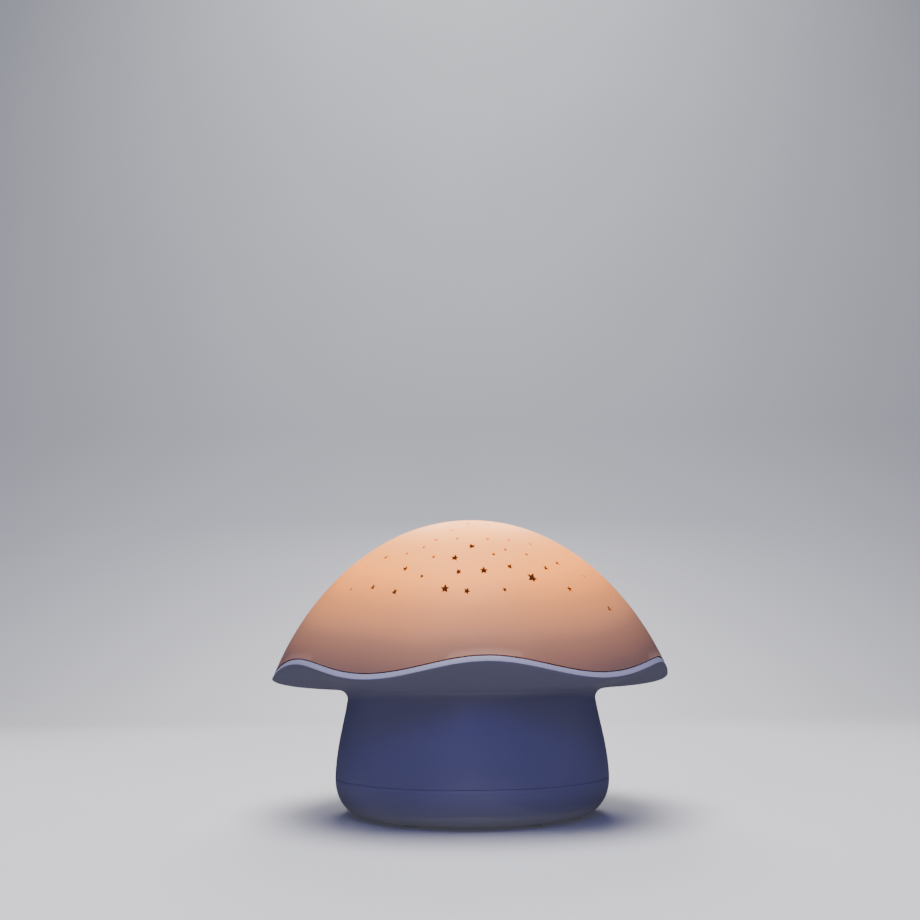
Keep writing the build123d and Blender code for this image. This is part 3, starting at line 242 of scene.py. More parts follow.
class NightLightColours(bpy.types.PropertyGroup):
    """Main colours of the mouldings."""

    # Crown, peach, rose and skirt step from light to dark over the cap as painted shade.
    crown: tint("Crown", (0.82, 0.50, 0.20), "Cream peach at the top of the cap")
    peach: tint("Peach", (0.76, 0.31, 0.11), "Warm peach round the crown")
    rose: tint("Rose", (0.54, 0.26, 0.175), "Rose above the wavy band")
    skirt: tint("Skirt", (0.30, 0.165, 0.145), "Dusky rose at the lower edge of the cap")
    # Colour of the painted glow, emission painted into the cap.
    glow: tint("Glow", (1.0, 0.25, 0.0), "Lamp light that comes through the cap")
    lining: tint("Lining", (0.13, 0.05, 0.022), "Dark lining behind the stars")
    # Body: the plastic's own lilac, made darker and bluer than the bare plastic as painted shade.
    body: tint("Body", (0.41, 0.41, 0.61), "Lilac of the stem, brim and foot")
    floor: tint("Floor", (0.84, 0.85, 0.87), "Pale studio floor")


def sizes():
    """The sizes that the scene holds."""
    return bpy.context.scene.night_light_sizes


def colours():
    """The colours that the scene holds."""
    return bpy.context.scene.night_light_colours


# ---- curves of the cap and body ----

def dome_centres():
    """Centre, radius and end slope of the cap's arcs. Each is tangent to the one above it."""
    centre_r, centre_z, before, slope = 0.0, TOTAL_HEIGHT, 0.0, 0.0
    found = []
    for radius, end in CAP_ARCS:
        centre_r -= (radius - before) * sin(radians(slope))
        centre_z -= (radius - before) * cos(radians(slope))
        found.append((centre_r, centre_z, radius, end))
        before, slope = radius, end
    return found


def dome_radius(height, inset=0.0):
    """Radius of the cap's skin, or of a skin inside it by inset, at one height."""
    for centre_r, centre_z, radius, slope in dome_centres():
        reach = radius - inset
        rise = height - centre_z
        if rise >= reach * cos(radians(slope)):
            break
    return centre_r + sqrt(max(reach * reach - rise * rise, 0.0))


def dome_points(inset, bottom, step):
    """Points down the cap's skin from its apex to one height, about step degrees of slope apart."""
    points = []
    start = 0.0
    for centre_r, centre_z, radius, slope in dome_centres():
        reach = radius - inset
        end = min(slope, degrees(acos((bottom - centre_z) / reach)))
        count = max(round((end - start) / step), 1)
        for index in range(count):
            turn = radians(start + (end - start) * index / count)
            points.append((centre_r + reach * sin(turn), centre_z + reach * cos(turn)))
        start = end
    return points + [(dome_radius(bottom, inset), bottom)]


def arc_points(centre, radius, start, end, count):
    """Points along an arc in the profile's plane, angles in degrees from outwards."""
    turns = [radians(start + (end - start) * index / count) for index in range(count + 1)]
    return [(centre[0] + radius * cos(turn), centre[1] + radius * sin(turn)) for turn in turns]


def bezier_points(corners, count):
    """Points along a cubic curve in the profile's plane, without its first."""
    points = []
    for index in range(1, count + 1):
        t = index / count
        weights = ((1 - t) ** 3, 3 * t * (1 - t) ** 2, 3 * t * t * (1 - t), t ** 3)
        points.append(tuple(sum(w * c[axis] for w, c in zip(weights, corners)) for axis in (0, 1)))
    return points


def stem_radius(height):
    """Outer radius of the stem: full at the seam, narrowest at the waist."""
    part = min(max((height - SEAM_HEIGHT) / (WAIST_HEIGHT - SEAM_HEIGHT), 0.0), 1.0)
    swell = max(cos(radians(90 * part)), 0.0) ** STEM_FULLNESS
    return WAIST_RADIUS + (BELLY_RADIUS - WAIST_RADIUS) * swell


def foot_points(inset, count):
    """Points of the foot's rounded side, from its flat underside up to the seam."""
    top = SEAM_HEIGHT - SEAM_GAP / 2
    reach = BELLY_RADIUS - FOOT_FLAT_RADIUS - inset
    drop = top - BASE_BOTTOM - inset
    turns = [radians(90 * index / count) for index in range(count + 1)]
    return [(FOOT_FLAT_RADIUS + reach * sin(turn), top - drop * cos(turn)) for turn in turns]


def band_points(outer, top, height):
    """Section of the wavy band: tight lip below, leaning face, rounded top edge."""
    lean, edge, lip = radians(28), 0.00045, 0.00022
    low = (outer - lip, top - height + lip)
    face = (height - edge - lip + (edge - lip) * sin(lean)) / cos(lean)
    high = (low[0] - face * sin(lean) - (edge - lip) * cos(lean), top - edge)
    lower = arc_points(low, lip, -50, degrees(lean), 5)
    return lower + arc_points(high, edge, degrees(lean), 90, 6)


def rim_wave(x, y):
    """Height of the rim's wave above its mean. One lobe is a little wider than the others."""
    turn = degrees(atan2(x, -y)) - LOBE_TURN
    turn -= WIDE_LOBE_BY * exp(-((turn - WIDE_LOBE_AT) / WIDE_LOBE_REACH) ** 2)
    return RIM_WAVE * cos(LOBES * radians(turn))


# ---- modelling steps ----

def deselect():
    """Leaves edit mode and deselects every object."""
    if bpy.context.object and bpy.context.object.mode != "OBJECT":
        bpy.ops.object.mode_set(mode="OBJECT")
    bpy.ops.object.select_all(action="DESELECT")


def choose(piece):
    """Makes one piece the only selected and active object."""
    deselect()
    piece.select_set(True)
    bpy.context.view_layer.objects.active = piece


def edit(piece):
    """Opens one piece in edit mode with nothing selected."""
    choose(piece)
    bpy.ops.object.mode_set(mode="EDIT")
    bpy.ops.mesh.select_mode(type="VERT")
    bpy.ops.mesh.select_all(action="DESELECT")


def select_points(piece, wanted):
    """Opens a piece in edit mode with the points selected for which wanted(place) is true."""
    edit(piece)
    bpy.ops.object.mode_set(mode="OBJECT")
    for vertex in piece.data.vertices:
        vertex.select = wanted(vertex.co)
    bpy.ops.object.mode_set(mode="EDIT")


def closed_up(piece):
    """Merges doubled points, points the faces outwards and leaves edit mode."""
    bpy.ops.mesh.select_all(action="SELECT")
    bpy.ops.mesh.remove_doubles(threshold=SAME_POINT)
    bpy.ops.mesh.normals_make_consistent(inside=False)
    bpy.ops.object.mode_set(mode="OBJECT")
    return piece


def drawn(points):
    """Opens a new piece in edit mode: a selected line through points."""
    deselect()
    bpy.ops.mesh.primitive_plane_add(size=0.001, location=points[0])
    piece = bpy.context.object
    bpy.ops.object.transform_apply(location=True)
    bpy.ops.object.mode_set(mode="EDIT")
    bpy.ops.mesh.select_mode(type="VERT")
    bpy.ops.mesh.select_all(action="SELECT")
    bpy.ops.mesh.merge(type="CENTER")
    for here, there in zip(points, points[1:]):
        step = [end - start for start, end in zip(here, there)]
        bpy.ops.mesh.extrude_vertices_move(TRANSFORM_OT_translate={"value": step})
    bpy.ops.mesh.select_all(action="SELECT")
    bpy.ops.mesh.remove_doubles(threshold=SAME_POINT)
    return piece


def turned(name, outline, steps=SPIN_STEPS):
    """Piece of revolution about Z. The outline is closed unless both its ends are on the axis."""
    points = [(radius, 0, height) for radius, height in outline]
    if max(outline[0][0], outline[-1][0]) > 1e-9:
        points.append(points[0])
    piece = drawn(points)
    piece.name = name
    bpy.ops.mesh.spin(steps=steps, angle=tau, center=(0, 0, 0), axis=(0, 0, 1))
    return closed_up(piece)


def extruded(points, reach):
    """Straight piece: a flat outline drawn through points and pulled out by a reach."""
    piece = drawn([*points, points[0]])
    bpy.ops.mesh.edge_face_add()
    bpy.ops.mesh.extrude_region_move(TRANSFORM_OT_translate={"value": reach})
    return closed_up(piece)


def at(x, y, z=0.0):
    """Place that is moved but not turned."""
    return Matrix.Translation((x, y, z))


def bar(radius, low, high, place=Matrix(), sides=48):
    """Round bar along the Z of a place, between two levels."""
    deselect()
    bpy.ops.mesh.primitive_cylinder_add(vertices=sides, radius=radius, depth=high - low)
    piece = bpy.context.object
    piece.data.transform(place @ at(0, 0, (low + high) / 2))
    return piece


def block(low, high):
    """Box between two corners."""
    deselect()
    bpy.ops.mesh.primitive_cube_add(size=1)
    piece = bpy.context.object
    low, high = Vector(low), Vector(high)
    piece.data.transform(
        Matrix.Translation((low + high) / 2) @ Matrix.Diagonal([*(high - low), 1])
    )
    return piece


def joined(pieces):
    """Several pieces as one object, without welding them."""
    deselect()
    for piece in pieces:
        piece.select_set(True)
    bpy.context.view_layer.objects.active = pieces[0]
    if len(pieces) > 1:
        bpy.ops.object.join()
    return pieces[0]


def copied(piece, name, place=Matrix()):
    """Another piece with its own mesh, moved to a place."""
    other = bpy.data.objects.new(name, piece.data.copy())
    bpy.context.scene.collection.objects.link(other)
    other.data.transform(place)
    return other


def discard(piece):
    """Removes an object that has done its work."""
    bpy.data.objects.remove(piece, do_unlink=True)


def applied(piece, kind, **settings):
    """Gives a piece one modifier and applies it."""
    choose(piece)
    modifier = piece.modifiers.new(kind.title(), kind)
    for setting, value in settings.items():
        setattr(modifier, setting, value)
    bpy.ops.object.modifier_apply(modifier=modifier.name)
    return piece


def combined(piece, others, operation):
    """Joins others to a piece, or cuts them out of it, as solids."""
    for other in others:
        applied(
            piece, "BOOLEAN", operation=operation, object=other, solver="EXACT",
            material_mode="TRANSFER",
        )
        discard(other)
    return piece


def rounded(piece, width, segments=2, angle=40):
    """Rounds a piece's sharp edges."""
    return applied(
        piece, "BEVEL", width=width, segments=segments, limit_method="ANGLE",
        angle_limit=radians(angle), miter_outer="MITER_ARC",
    )


def smoothed(piece, angle=32):
    """Shades a piece smooth, except across edges sharper than an angle."""
    choose(piece)
    bpy.ops.object.shade_smooth_by_angle(angle=radians(angle))
    return piece


def follow_rim(piece, share, slide):
    """Lifts points by their share of the rim's wave, and slides them along the slope there."""
    for vertex in piece.data.vertices:
        x, y, z = vertex.co
        radius = hypot(x, y)
        lift = share(radius, z) * rim_wave(x, y)
        if radius > 0.001 and lift:
            reach = 1 + slide(radius, z, lift) / radius
            vertex.co = (x * reach, y * reach, z + lift)
    piece.data.update()


def finished(piece, body, slot, finish, *nodes):
    """Gives a piece its finish, hangs it under the body it rides on, and hides the nodes it stands
    for.
    """
    if finish:
        piece.data.materials.clear()
        piece.data.materials.append(finish)
    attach(piece, body)
    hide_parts(*nodes)
    return piece


def finish_nodes(finish, *nodes):
    """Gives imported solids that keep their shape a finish."""
    for name in nodes:
        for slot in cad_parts[name].material_slots:
            slot.material = finish


# ---- finishes ----

def feed(tree, socket, value):
    """Links a socket to another one, or sets its value."""
    if isinstance(value, bpy.types.NodeSocket):
        tree.links.new(value, socket)
    else:
        socket.default_value = value


def fed(tree, node, **values):
    """A node with its inputs linked to sockets or set to values by name."""
    for name, value in values.items():
        feed(tree, node.inputs[name.replace("_", " ")], value)
    return node


def add_node(tree, kind, x, y, **values):
    """New node at a place, with its inputs linked or set by name."""
    node = tree.nodes.new("ShaderNode" + kind)
    node.location = (x, y)
    return fed(tree, node, **values)


def worked_out(tree, x, y, operation, *values, kind="Math"):
    """Value of a sum of numbers or vectors, with its inputs linked or set in their order."""
    node = add_node(tree, kind, x, y)
    node.operation = operation
    for socket, value in zip(node.inputs, values):
        feed(tree, socket, value)
    return node.outputs["Value"]


def mixed(tree, x, y, factor, first, second):
    """Colour between two others."""
    node = add_node(tree, "Mix", x, y)
    node.data_type = "RGBA"
    for index, value in ((0, factor), (6, first), (7, second)):
        feed(tree, node.inputs[index], value)
    return node.outputs[2]


def noise(tree, x, y, vector, scale, detail, roughness=0.5):
    """Noise of a scale, between zero and one."""
    node = add_node(
        tree, "TexNoise", x, y, Vector=vector, Scale=scale, Detail=detail, Roughness=roughness,
    )
    return node.outputs["Fac"]


def ranged(tree, x, y, value, low, high, to_low=0.0, to_high=1.0):
    """Value carried from one range to another and kept inside it."""
    node = add_node(
        tree, "MapRange", x, y,
        Value=value, From_Min=low, From_Max=high, To_Min=to_low, To_Max=to_high,
    )
    return node.outputs["Result"]


def colour_ramp(tree, x, y, part, stops, steps=False):
    """Colour that follows a part of one through stops of (position, colour)."""
    node = add_node(tree, "ValToRGB", x, y, Fac=part)
    node.color_ramp.interpolation = "CONSTANT" if steps else "LINEAR"
    elements = node.color_ramp.elements
    for index, (position, colour) in enumerate(stops):
        element = elements[index] if index < 2 else elements.new(1.0)
        element.position = position
        element.color = (*colour, 1.0)
    return node.outputs["Color"]


def new_group(name, inputs, outputs):
    """Empty node group with named sockets, as (tree, what it is given, its output node)."""
    tree = bpy.data.node_groups.new(name, "ShaderNodeTree")
    for socket, kind, value in inputs:
        made = tree.interface.new_socket(socket, in_out="INPUT", socket_type="NodeSocket" + kind)
        if value is not None:
            made.default_value = value
    for socket, kind in outputs:
        tree.interface.new_socket(socket, in_out="OUTPUT", socket_type="NodeSocket" + kind)
    start = tree.nodes.new("NodeGroupInput")
    start.location = (-900, 0)
    end = tree.nodes.new("NodeGroupOutput")
    end.location = (400, 0)
    return tree, start.outputs, end


def grain_group():
    """Fine grain of a moulded surface, and patches of more and less shine."""
    name = "Moulded grain"
    if name in bpy.data.node_groups:
        return bpy.data.node_groups[name]
    tree, given, made = new_group(
        name,
        [("Vector", "Vector", None), ("Grain", "Float", GRAIN), ("Patches", "Float", PATCHES)],
        [("Height", "Float"), ("Shine", "Float")],
    )
    fine = noise(tree, -600, 100, given["Vector"], given["Grain"], 3.0, 0.65)
    broad = noise(tree, -600, -200, given["Vector"], given["Patches"], 4.0, 0.6)
    fed(tree, made, Height=fine, Shine=ranged(tree, -200, -200, broad, 0.35, 0.65))
    return tree


def tones_group():
    """Two tones of a colour that drift into each other."""
    name = "Drifting tones"
    if name in bpy.data.node_groups:
        return bpy.data.node_groups[name]
    tree, given, made = new_group(
        name,
        [
            ("Vector", "Vector", None), ("Drift", "Float", 30.0),
            ("First", "Color", None), ("Second", "Color", None),
        ],
        [("Color", "Color")],
    )
    broad = noise(tree, -600, 0, given["Vector"], given["Drift"], 3.0, 0.55)
    part = ranged(tree, -350, 0, broad, 0.3, 0.7)
    fed(tree, made, Color=mixed(tree, -50, 0, part, given["First"], given["Second"]))
    return tree


def rubs_group():
    """Faint hairline rubs, mostly along one direction."""
    name = "Hairline rubs"
    if name in bpy.data.node_groups:
        return bpy.data.node_groups[name]
    tree, given, made = new_group(
        name,
        [("Vector", "Vector", None), ("Scale", "Float", 260.0)],
        [("Mask", "Float")],
    )
    stretch = add_node(
        tree, "Mapping", -700, 0,
        Vector=given["Vector"], Scale=(1.0, 14.0, 14.0), Rotation=(0.4, 0.2, 0.7),
    )
    lines = noise(tree, -450, 0, stretch.outputs["Vector"], given["Scale"], 2.0)
    where = noise(tree, -450, -250, given["Vector"], 45.0, 2.0)
    thin = ranged(tree, -200, 0, lines, 0.62, 0.7)
    patch = ranged(tree, -200, -250, where, 0.5, 0.65)
    fed(tree, made, Mask=worked_out(tree, 50, 0, "MULTIPLY", thin, patch))
    return tree


def placed_group(tree, group, x, y, **values):
    """A node group placed in a material."""
    node = add_node(tree, "Group", x, y)
    node.node_tree = group
    return fed(tree, node, **values)


def new_finish(name, **shader):
    """Empty finish, as (material, tree, Principled shader, Object coordinates)."""
    material = bpy.data.materials.new(name)
    material.use_nodes = True
    tree = material.node_tree
    principled = fed(tree, tree.nodes["Principled BSDF"], **shader)
    place = add_node(tree, "TexCoord", -1300, 0).outputs["Object"]
    centred = add_node(tree, "Mapping", -1100, 0, Vector=place, Location=(0, 0, -LAMP_HEIGHT))
    return material, tree, principled, centred.outputs["Vector"]


def textured(
    tree, shader, vector, roughness, spread, grain=GRAIN, patches=PATCHES, depth=None, rubs=0.0,
):
    """Gives a shader its grain, and a roughness that wanders by spread and rises along rubs."""
    node = placed_group(
        tree, grain_group(), -800, -350, Vector=vector, Grain=grain, Patches=patches,
    )
    bump = add_node(
        tree, "Bump", -250, -450, Height=node.outputs["Height"], Strength=1.0,
        Distance=sizes().grain_depth if depth is None else depth,
    )
    value = ranged(
        tree, -500, -250, node.outputs["Shine"], 0.0, 1.0, roughness - spread, roughness + spread,
    )
    if rubs:
        marks = placed_group(tree, rubs_group(), -800, -650, Vector=vector)
        mask = marks.outputs["Mask"]
        value = worked_out(tree, -350, -250, "MULTIPLY_ADD", mask, rubs, value)
    fed(tree, shader, Normal=bump.outputs["Normal"], Roughness=value)


def shaded(colour, factor):
    """A colour made lighter or darker, with its alpha."""
    return (*(min(part * factor, 1.0) for part in colour[:3]), 1.0)


def moulding(
    name, colour, roughness, spread=0.05, drift=30.0, contrast=0.05, texture=None, **shader,
):
    """Moulded or cast surface of one colour that drifts a little, kept under its name."""
    if name in bpy.data.materials:
        return bpy.data.materials[name]
    material, tree, principled, vector = new_finish(name, **shader)
    tones = placed_group(
        tree, tones_group(), -800, 0, Vector=vector, Drift=drift,
        First=shaded(colour, 1 - contrast), Second=shaded(colour, 1 + contrast),
    )
    fed(tree, principled, Base_Color=tones.outputs["Color"])
    textured(tree, principled, vector, roughness, spread, **(texture or {}))
    return material


def cap_finish():
    """Peach plastic with painted light and shade: a painted glow and the lightest tone at the front
    of the crown, darker to dusky rose at the skirt and towards the rear.
    """
    colour = colours()
    material, tree, principled, vector = new_finish(
        "Glowing peach plastic", Emission_Strength=sizes().glow, IOR=1.46, Specular_IOR_Level=0.15,
    )
    cloud = noise(tree, -900, 450, vector, 22.0, 2.0)
    shift = ranged(tree, -700, 450, cloud, 0.3, 0.7, -0.0012, 0.0012)
    # Painted glow and painted shade both follow the distance from a point forward of the crown.
    broad = add_node(tree, "Mapping", -1050, 250, Vector=vector, Scale=(PAINTED_LIGHT_BREADTH, 1.0, 1.0))
    centre = Vector(PAINTED_LIGHT_CENTRE) - Vector((0, 0, LAMP_HEIGHT))
    reach = worked_out(
        tree, -850, 250, "DISTANCE", broad.outputs["Vector"], centre, kind="VectorMath",
    )
    spread = worked_out(tree, -520, 300, "ADD", reach, shift)
    part = ranged(tree, -350, 300, spread, 0.0, PAINTED_LIGHT_REACH)
    peach, rose, skirt = Vector(colour.peach), Vector(colour.rose), Vector(colour.skirt)
    # Painted shade: the base colour is lighter near the front of the crown and darker towards the
    # skirt and rear.
    tint = colour_ramp(tree, -150, 450, part, [
        (0.15, colour.crown), (0.52, peach), (0.62, peach.lerp(rose, 0.3)), (0.775, rose),
        (0.83, rose.lerp(skirt, 0.3)), (0.95, skirt),
    ])
    # Painted glow: emission strongest at the front of the crown, fading to none at the skirt.
    glow = Vector(colour.glow)
    fades = [(position, glow * left) for position, left in PAINTED_GLOW_FADES]
    light = colour_ramp(tree, -150, 150, part, fades)
    fed(tree, principled, Base_Color=tint, Emission_Color=light)
    textured(tree, principled, vector, 0.48, 0.05, rubs=0.08)
    return material


def body_finish():
    """Satin lilac plastic of the stem, brim, foot, door and button, made darker and bluer than the
    bare plastic as painted shade.
    """
    return moulding(
        "Lilac body plastic", colours().body, 0.42, contrast=0.03, texture={"rubs": 0.08}, IOR=1.48,
    )


def lining_finish():
    """Dark opaque lining behind the cap's skin, with a faint painted glow of its own colour."""
    # Painted glow: the lining emits a darker copy of its colour.
    return moulding(
        "Dark cap lining", colours().lining, 0.6, contrast=0.15,
        Emission_Color=shaded(colours().lining, 0.6), Emission_Strength=1.0,
    )


def steel_finish():
    """Zinc-plated steel of the screws."""
    return moulding(
        "Zinc plated steel", (0.62, 0.63, 0.66), 0.3, spread=0.1, drift=400.0, contrast=0.12,
        texture={"grain": 6000.0, "patches": 600.0, "depth": 0.000006, "rubs": 0.25}, Metallic=1.0,
    )


# ---- pieces ----

def ray_frame(azimuth, polar):
    """Place on the cap's skin where a ray from the lamp leaves: Z along the ray, X to the pole."""
    turn, tilt = radians(azimuth), radians(polar)
    ray = Vector((sin(tilt) * sin(turn), -sin(tilt) * cos(turn), cos(tilt)))
    near, far = 0.0, 2 * CAP_ARCS[0][0]
    while far - near > 1e-6:
        middle = (near + far) / 2
        if middle * sin(tilt) < dome_radius(LAMP_HEIGHT + middle * cos(tilt)):
            near = middle
        else:
            far = middle
    upward = Vector((-cos(tilt) * sin(turn), cos(tilt) * cos(turn), sin(tilt)))
    turned_to = Matrix((upward, ray.cross(upward), ray)).transposed().to_4x4()
    return Matrix.Translation(Vector((0, 0, LAMP_HEIGHT)) + ray * near) @ turned_to


def light_walls(cutter, skin, lining):
    """Gives what a cutter leaves the skin's finish, with its painted glow and shade, near the
    surface and the lining's below it.
    """
    edit(cutter)
    bpy.ops.mesh.select_all(action="SELECT")
    bpy.ops.mesh.bisect(plane_co=(0, 0, -PAINTED_GLOW_DEPTH), plane_no=(0, 0, 1))
    bpy.ops.object.mode_set(mode="OBJECT")
    cutter.data.materials.append(skin)
    cutter.data.materials.append(lining)
    for face in cutter.data.polygons:
        face.material_index = int(face.center.z < -PAINTED_GLOW_DEPTH)


class NIGHTLIGHT_OT_cap(bpy.types.Operator):
    """Model the peach cap with its wavy edge, its stars and its moon"""

    bl_idname = "nightlight.cap"
    bl_label = "Cap"

    def execute(self, context):
        wall = sizes().cap_wall
        edge = RIM_HEIGHT + CAP_EDGE_GAP
        outside = dome_points(0.0, edge + CAP_EDGE, 1.5)
        corner = (dome_radius(edge) - CAP_EDGE, edge + CAP_EDGE)
        inside = dome_points(wall, edge, 3.0)
        outline = outside + arc_points(corner, CAP_EDGE, -15, -90, 4) + inside[::-1]
        cap = turned("cap", outline)

        def share(radius, height):
            part = min(max((WAVE_FADES_AT - height) / (WAVE_FADES_AT - edge), 0.0), 1.0)
            return part * part * (3 - 2 * part)

        def slide(radius, height, lift):
            inset = wall if radius < dome_radius(height) - wall / 2 else 0.0
            return dome_radius(height + lift, inset) - dome_radius(height, inset)

        follow_rim(cap, share, slide)
        skin, lining = cap_finish(), lining_finish()
        cap.data.materials.append(skin)
        cap.data.materials.append(lining)
        lamp = Vector((0, 0, LAMP_HEIGHT))
        for face in cap.data.polygons:
            face.material_index = int(face.normal.dot(face.center - lamp) < 0)

        # One star bar, its inner corners drawn in, then copied along every ray
        star = bar(0.5, -CUT_REACH, CUT_REACH, sides=2 * STAR_POINTS)
        light_walls(star, skin, lining)
        start = max((vertex.co for vertex in star.data.vertices), key=lambda place: place.y)
        first = atan2(start.y, start.x)

        def inner(place):
            steps = (atan2(place.y, place.x) - first) / (pi / STAR_POINTS)
            return round(steps) % 2 == 1

        select_points(star, inner)
        bpy.ops.transform.resize(value=(STAR_WAIST, STAR_WAIST, 1), center_override=(0, 0, 0))
        bpy.ops.object.mode_set(mode="OBJECT")
        star.data.transform(Matrix.Rotation(-first, 4, "Z"))
        bars = []
        for field in range(STAR_FIELDS):
            for index, (azimuth, polar, size) in enumerate(STAR_MAP):
                span = STAR_SPANS[size]
                spin = radians(STAR_SPIN * index + FIELD_SPIN * field)
                place = (
                    ray_frame(azimuth + 360 * field / STAR_FIELDS, polar)
                    @ Matrix.Diagonal((span * STAR_STRETCH, span, 1, 1))
                    @ Matrix.Rotation(spin, 4, "Z")
                )
                bars.append(copied(star, f"star_{field}_{index}", place))
        discard(star)
        moon = bar(MOON_SPAN / 2, -CUT_REACH, CUT_REACH)
        bite = bar(MOON_BITE, -2 * CUT_REACH, 2 * CUT_REACH, at(0, MOON_SHIFT))
        combined(moon, [bite], "DIFFERENCE")
        light_walls(moon, skin, lining)
        moon.data.transform(ray_frame(MOON_AZIMUTH, MOON_POLAR))
        combined(cap, [joined([*bars, moon])], "DIFFERENCE")
        smoothed(cap)
        finished(cap, "housing", "cap_plastic", None, "cap_shell")
        return {"FINISHED"}


class NIGHTLIGHT_OT_stem(bpy.types.Operator):
    """Model the stem, the wavy brim with its bead and the bosses inside"""

    bl_idname = "nightlight.stem"
    bl_label = "Stem and brim"

    def execute(self, context):
        wall = sizes().body_wall
        bottom = SEAM_HEIGHT + SEAM_GAP / 2
        root = (WAIST_RADIUS + BRIM_FILLET, FILLET_HEIGHT)
        skin = dome_radius(RIM_HEIGHT)
        band = band_points(skin + BEAD_PROUD, RIM_HEIGHT, sizes().band_height)
        ring_radius = dome_radius(RIM_HEIGHT, sizes().cap_wall) - RING_GAP
        ring_top = RIM_HEIGHT + RING_HEIGHT
        ring_top_radius = dome_radius(ring_top, sizes().cap_wall) - RING_GAP
        ring_inside = ring_top_radius - RING_WALL
        low, high = RIM_HEIGHT - RIM_WAVE, RIM_HEIGHT + RIM_WAVE
        lean = (dome_radius(low) - dome_radius(high)) / (2 * RIM_WAVE)

        start = bottom + SEAM_EDGE
        rises = [start + (FILLET_HEIGHT - start) * step / 22 for step in range(22)]
        outline = arc_points((BELLY_RADIUS - SEAM_EDGE, start), SEAM_EDGE, -90, -15, 4)
        outline += [(stem_radius(height), height) for height in rises]
        fillet = arc_points(root, BRIM_FILLET, 180, 99, 9)
        sweep = [fillet[-1], *BRIM_CURVE, band[0]]
        outline += fillet + bezier_points(sweep, 22) + band[1:]
        outline += [(band[-1][0] - 0.0003, RIM_HEIGHT - 0.0001), (ring_radius, RIM_HEIGHT)]
        outline += [(ring_top_radius, ring_top - 0.0003), (ring_top_radius - 0.0003, ring_top)]
        outline += [(ring_inside, ring_top)]
        floor = [(radius, height + wall) for radius, height in bezier_points(sweep, 22)]
        outline += [(ring_inside, floor[15][1] + 0.0004)]
        outline += [point for point in floor[15::-1] if point[0] < ring_inside - 0.0004]
        outline += [(WAIST_RADIUS - wall + 0.002, 0.0471), (WAIST_RADIUS - wall + 0.0005, 0.046)]
        drops = [WAIST_HEIGHT - (WAIST_HEIGHT - bottom) * step / 12 for step in range(13)]
        outline += [(stem_radius(height) - wall, height) for height in drops]
        stem = turned("stem", outline)

        def share(radius, height):
            if height > RIM_HEIGHT - 0.0006:
                return 1.0
            return min(max((radius - root[0]) / (skin - 0.0001 - root[0]), 0.0), 1.0)

        follow_rim(stem, share, lambda radius, height, lift: -lean * lift)

        # Bosses and ribs for the screws, guide ring and switch posts behind the button
        inside = []
        for x, y in corners(BASE_SCREW_X, BASE_SCREW_Y):
            inside += boss_and_rib(x, y, 0.00375, 0.0165, 0.0275, 0.0015, 0.0174)
        for turn in TRAY_BOSS_TURNS:
            x, y = TRAY_BOSS_PLACE * cos(radians(turn)), TRAY_BOSS_PLACE * sin(radians(turn))
            inside += boss_and_rib(x, y, 0.0035, 0.034, 0.043, 0.00105, 0.034)
        inside.append(bar(0.010, -0.0034, -0.0014, BUTTON_FRAME))
        for x in (-SWITCH_POST_X, SWITCH_POST_X):
            inside.append(bar(0.0025, -SWITCH_BOARD_FRONT, -0.003, BUTTON_FRAME @ at(x, 0), 24))
        combined(stem, inside, "UNION")
        combined(stem, [bar(BUTTON_BORE, -0.006, 0.003, BUTTON_FRAME, sides=96)], "DIFFERENCE")
        smoothed(stem)
        finished(stem, "housing", "body_plastic", body_finish(), "stem_shell")
        return {"FINISHED"}


def corners(x, y):
    """The four corners of a rectangle about the axis."""
    return [(side * x, end * y) for side in (-1, 1) for end in (-1, 1)]


def boss_and_rib(x, y, radius, low, high, pilot, rib_low):
    """Screw boss inside the stem, and the rib that ties it to the wall."""
    place = at(x, y)
    boss = bar(radius, low, high, place, 32)
    combined(boss, [bar(pilot, low - 0.001, high - 0.002, place, 24)], "DIFFERENCE")
    reach = stem_radius((low + high) / 2) - 0.0012
    rib = block((radius - 0.0005, -0.0009, rib_low), (reach - hypot(x, y), 0.0009, high))
    rib.data.transform(place @ Matrix.Rotation(atan2(y, x), 4, "Z"))
    return [boss, rib]


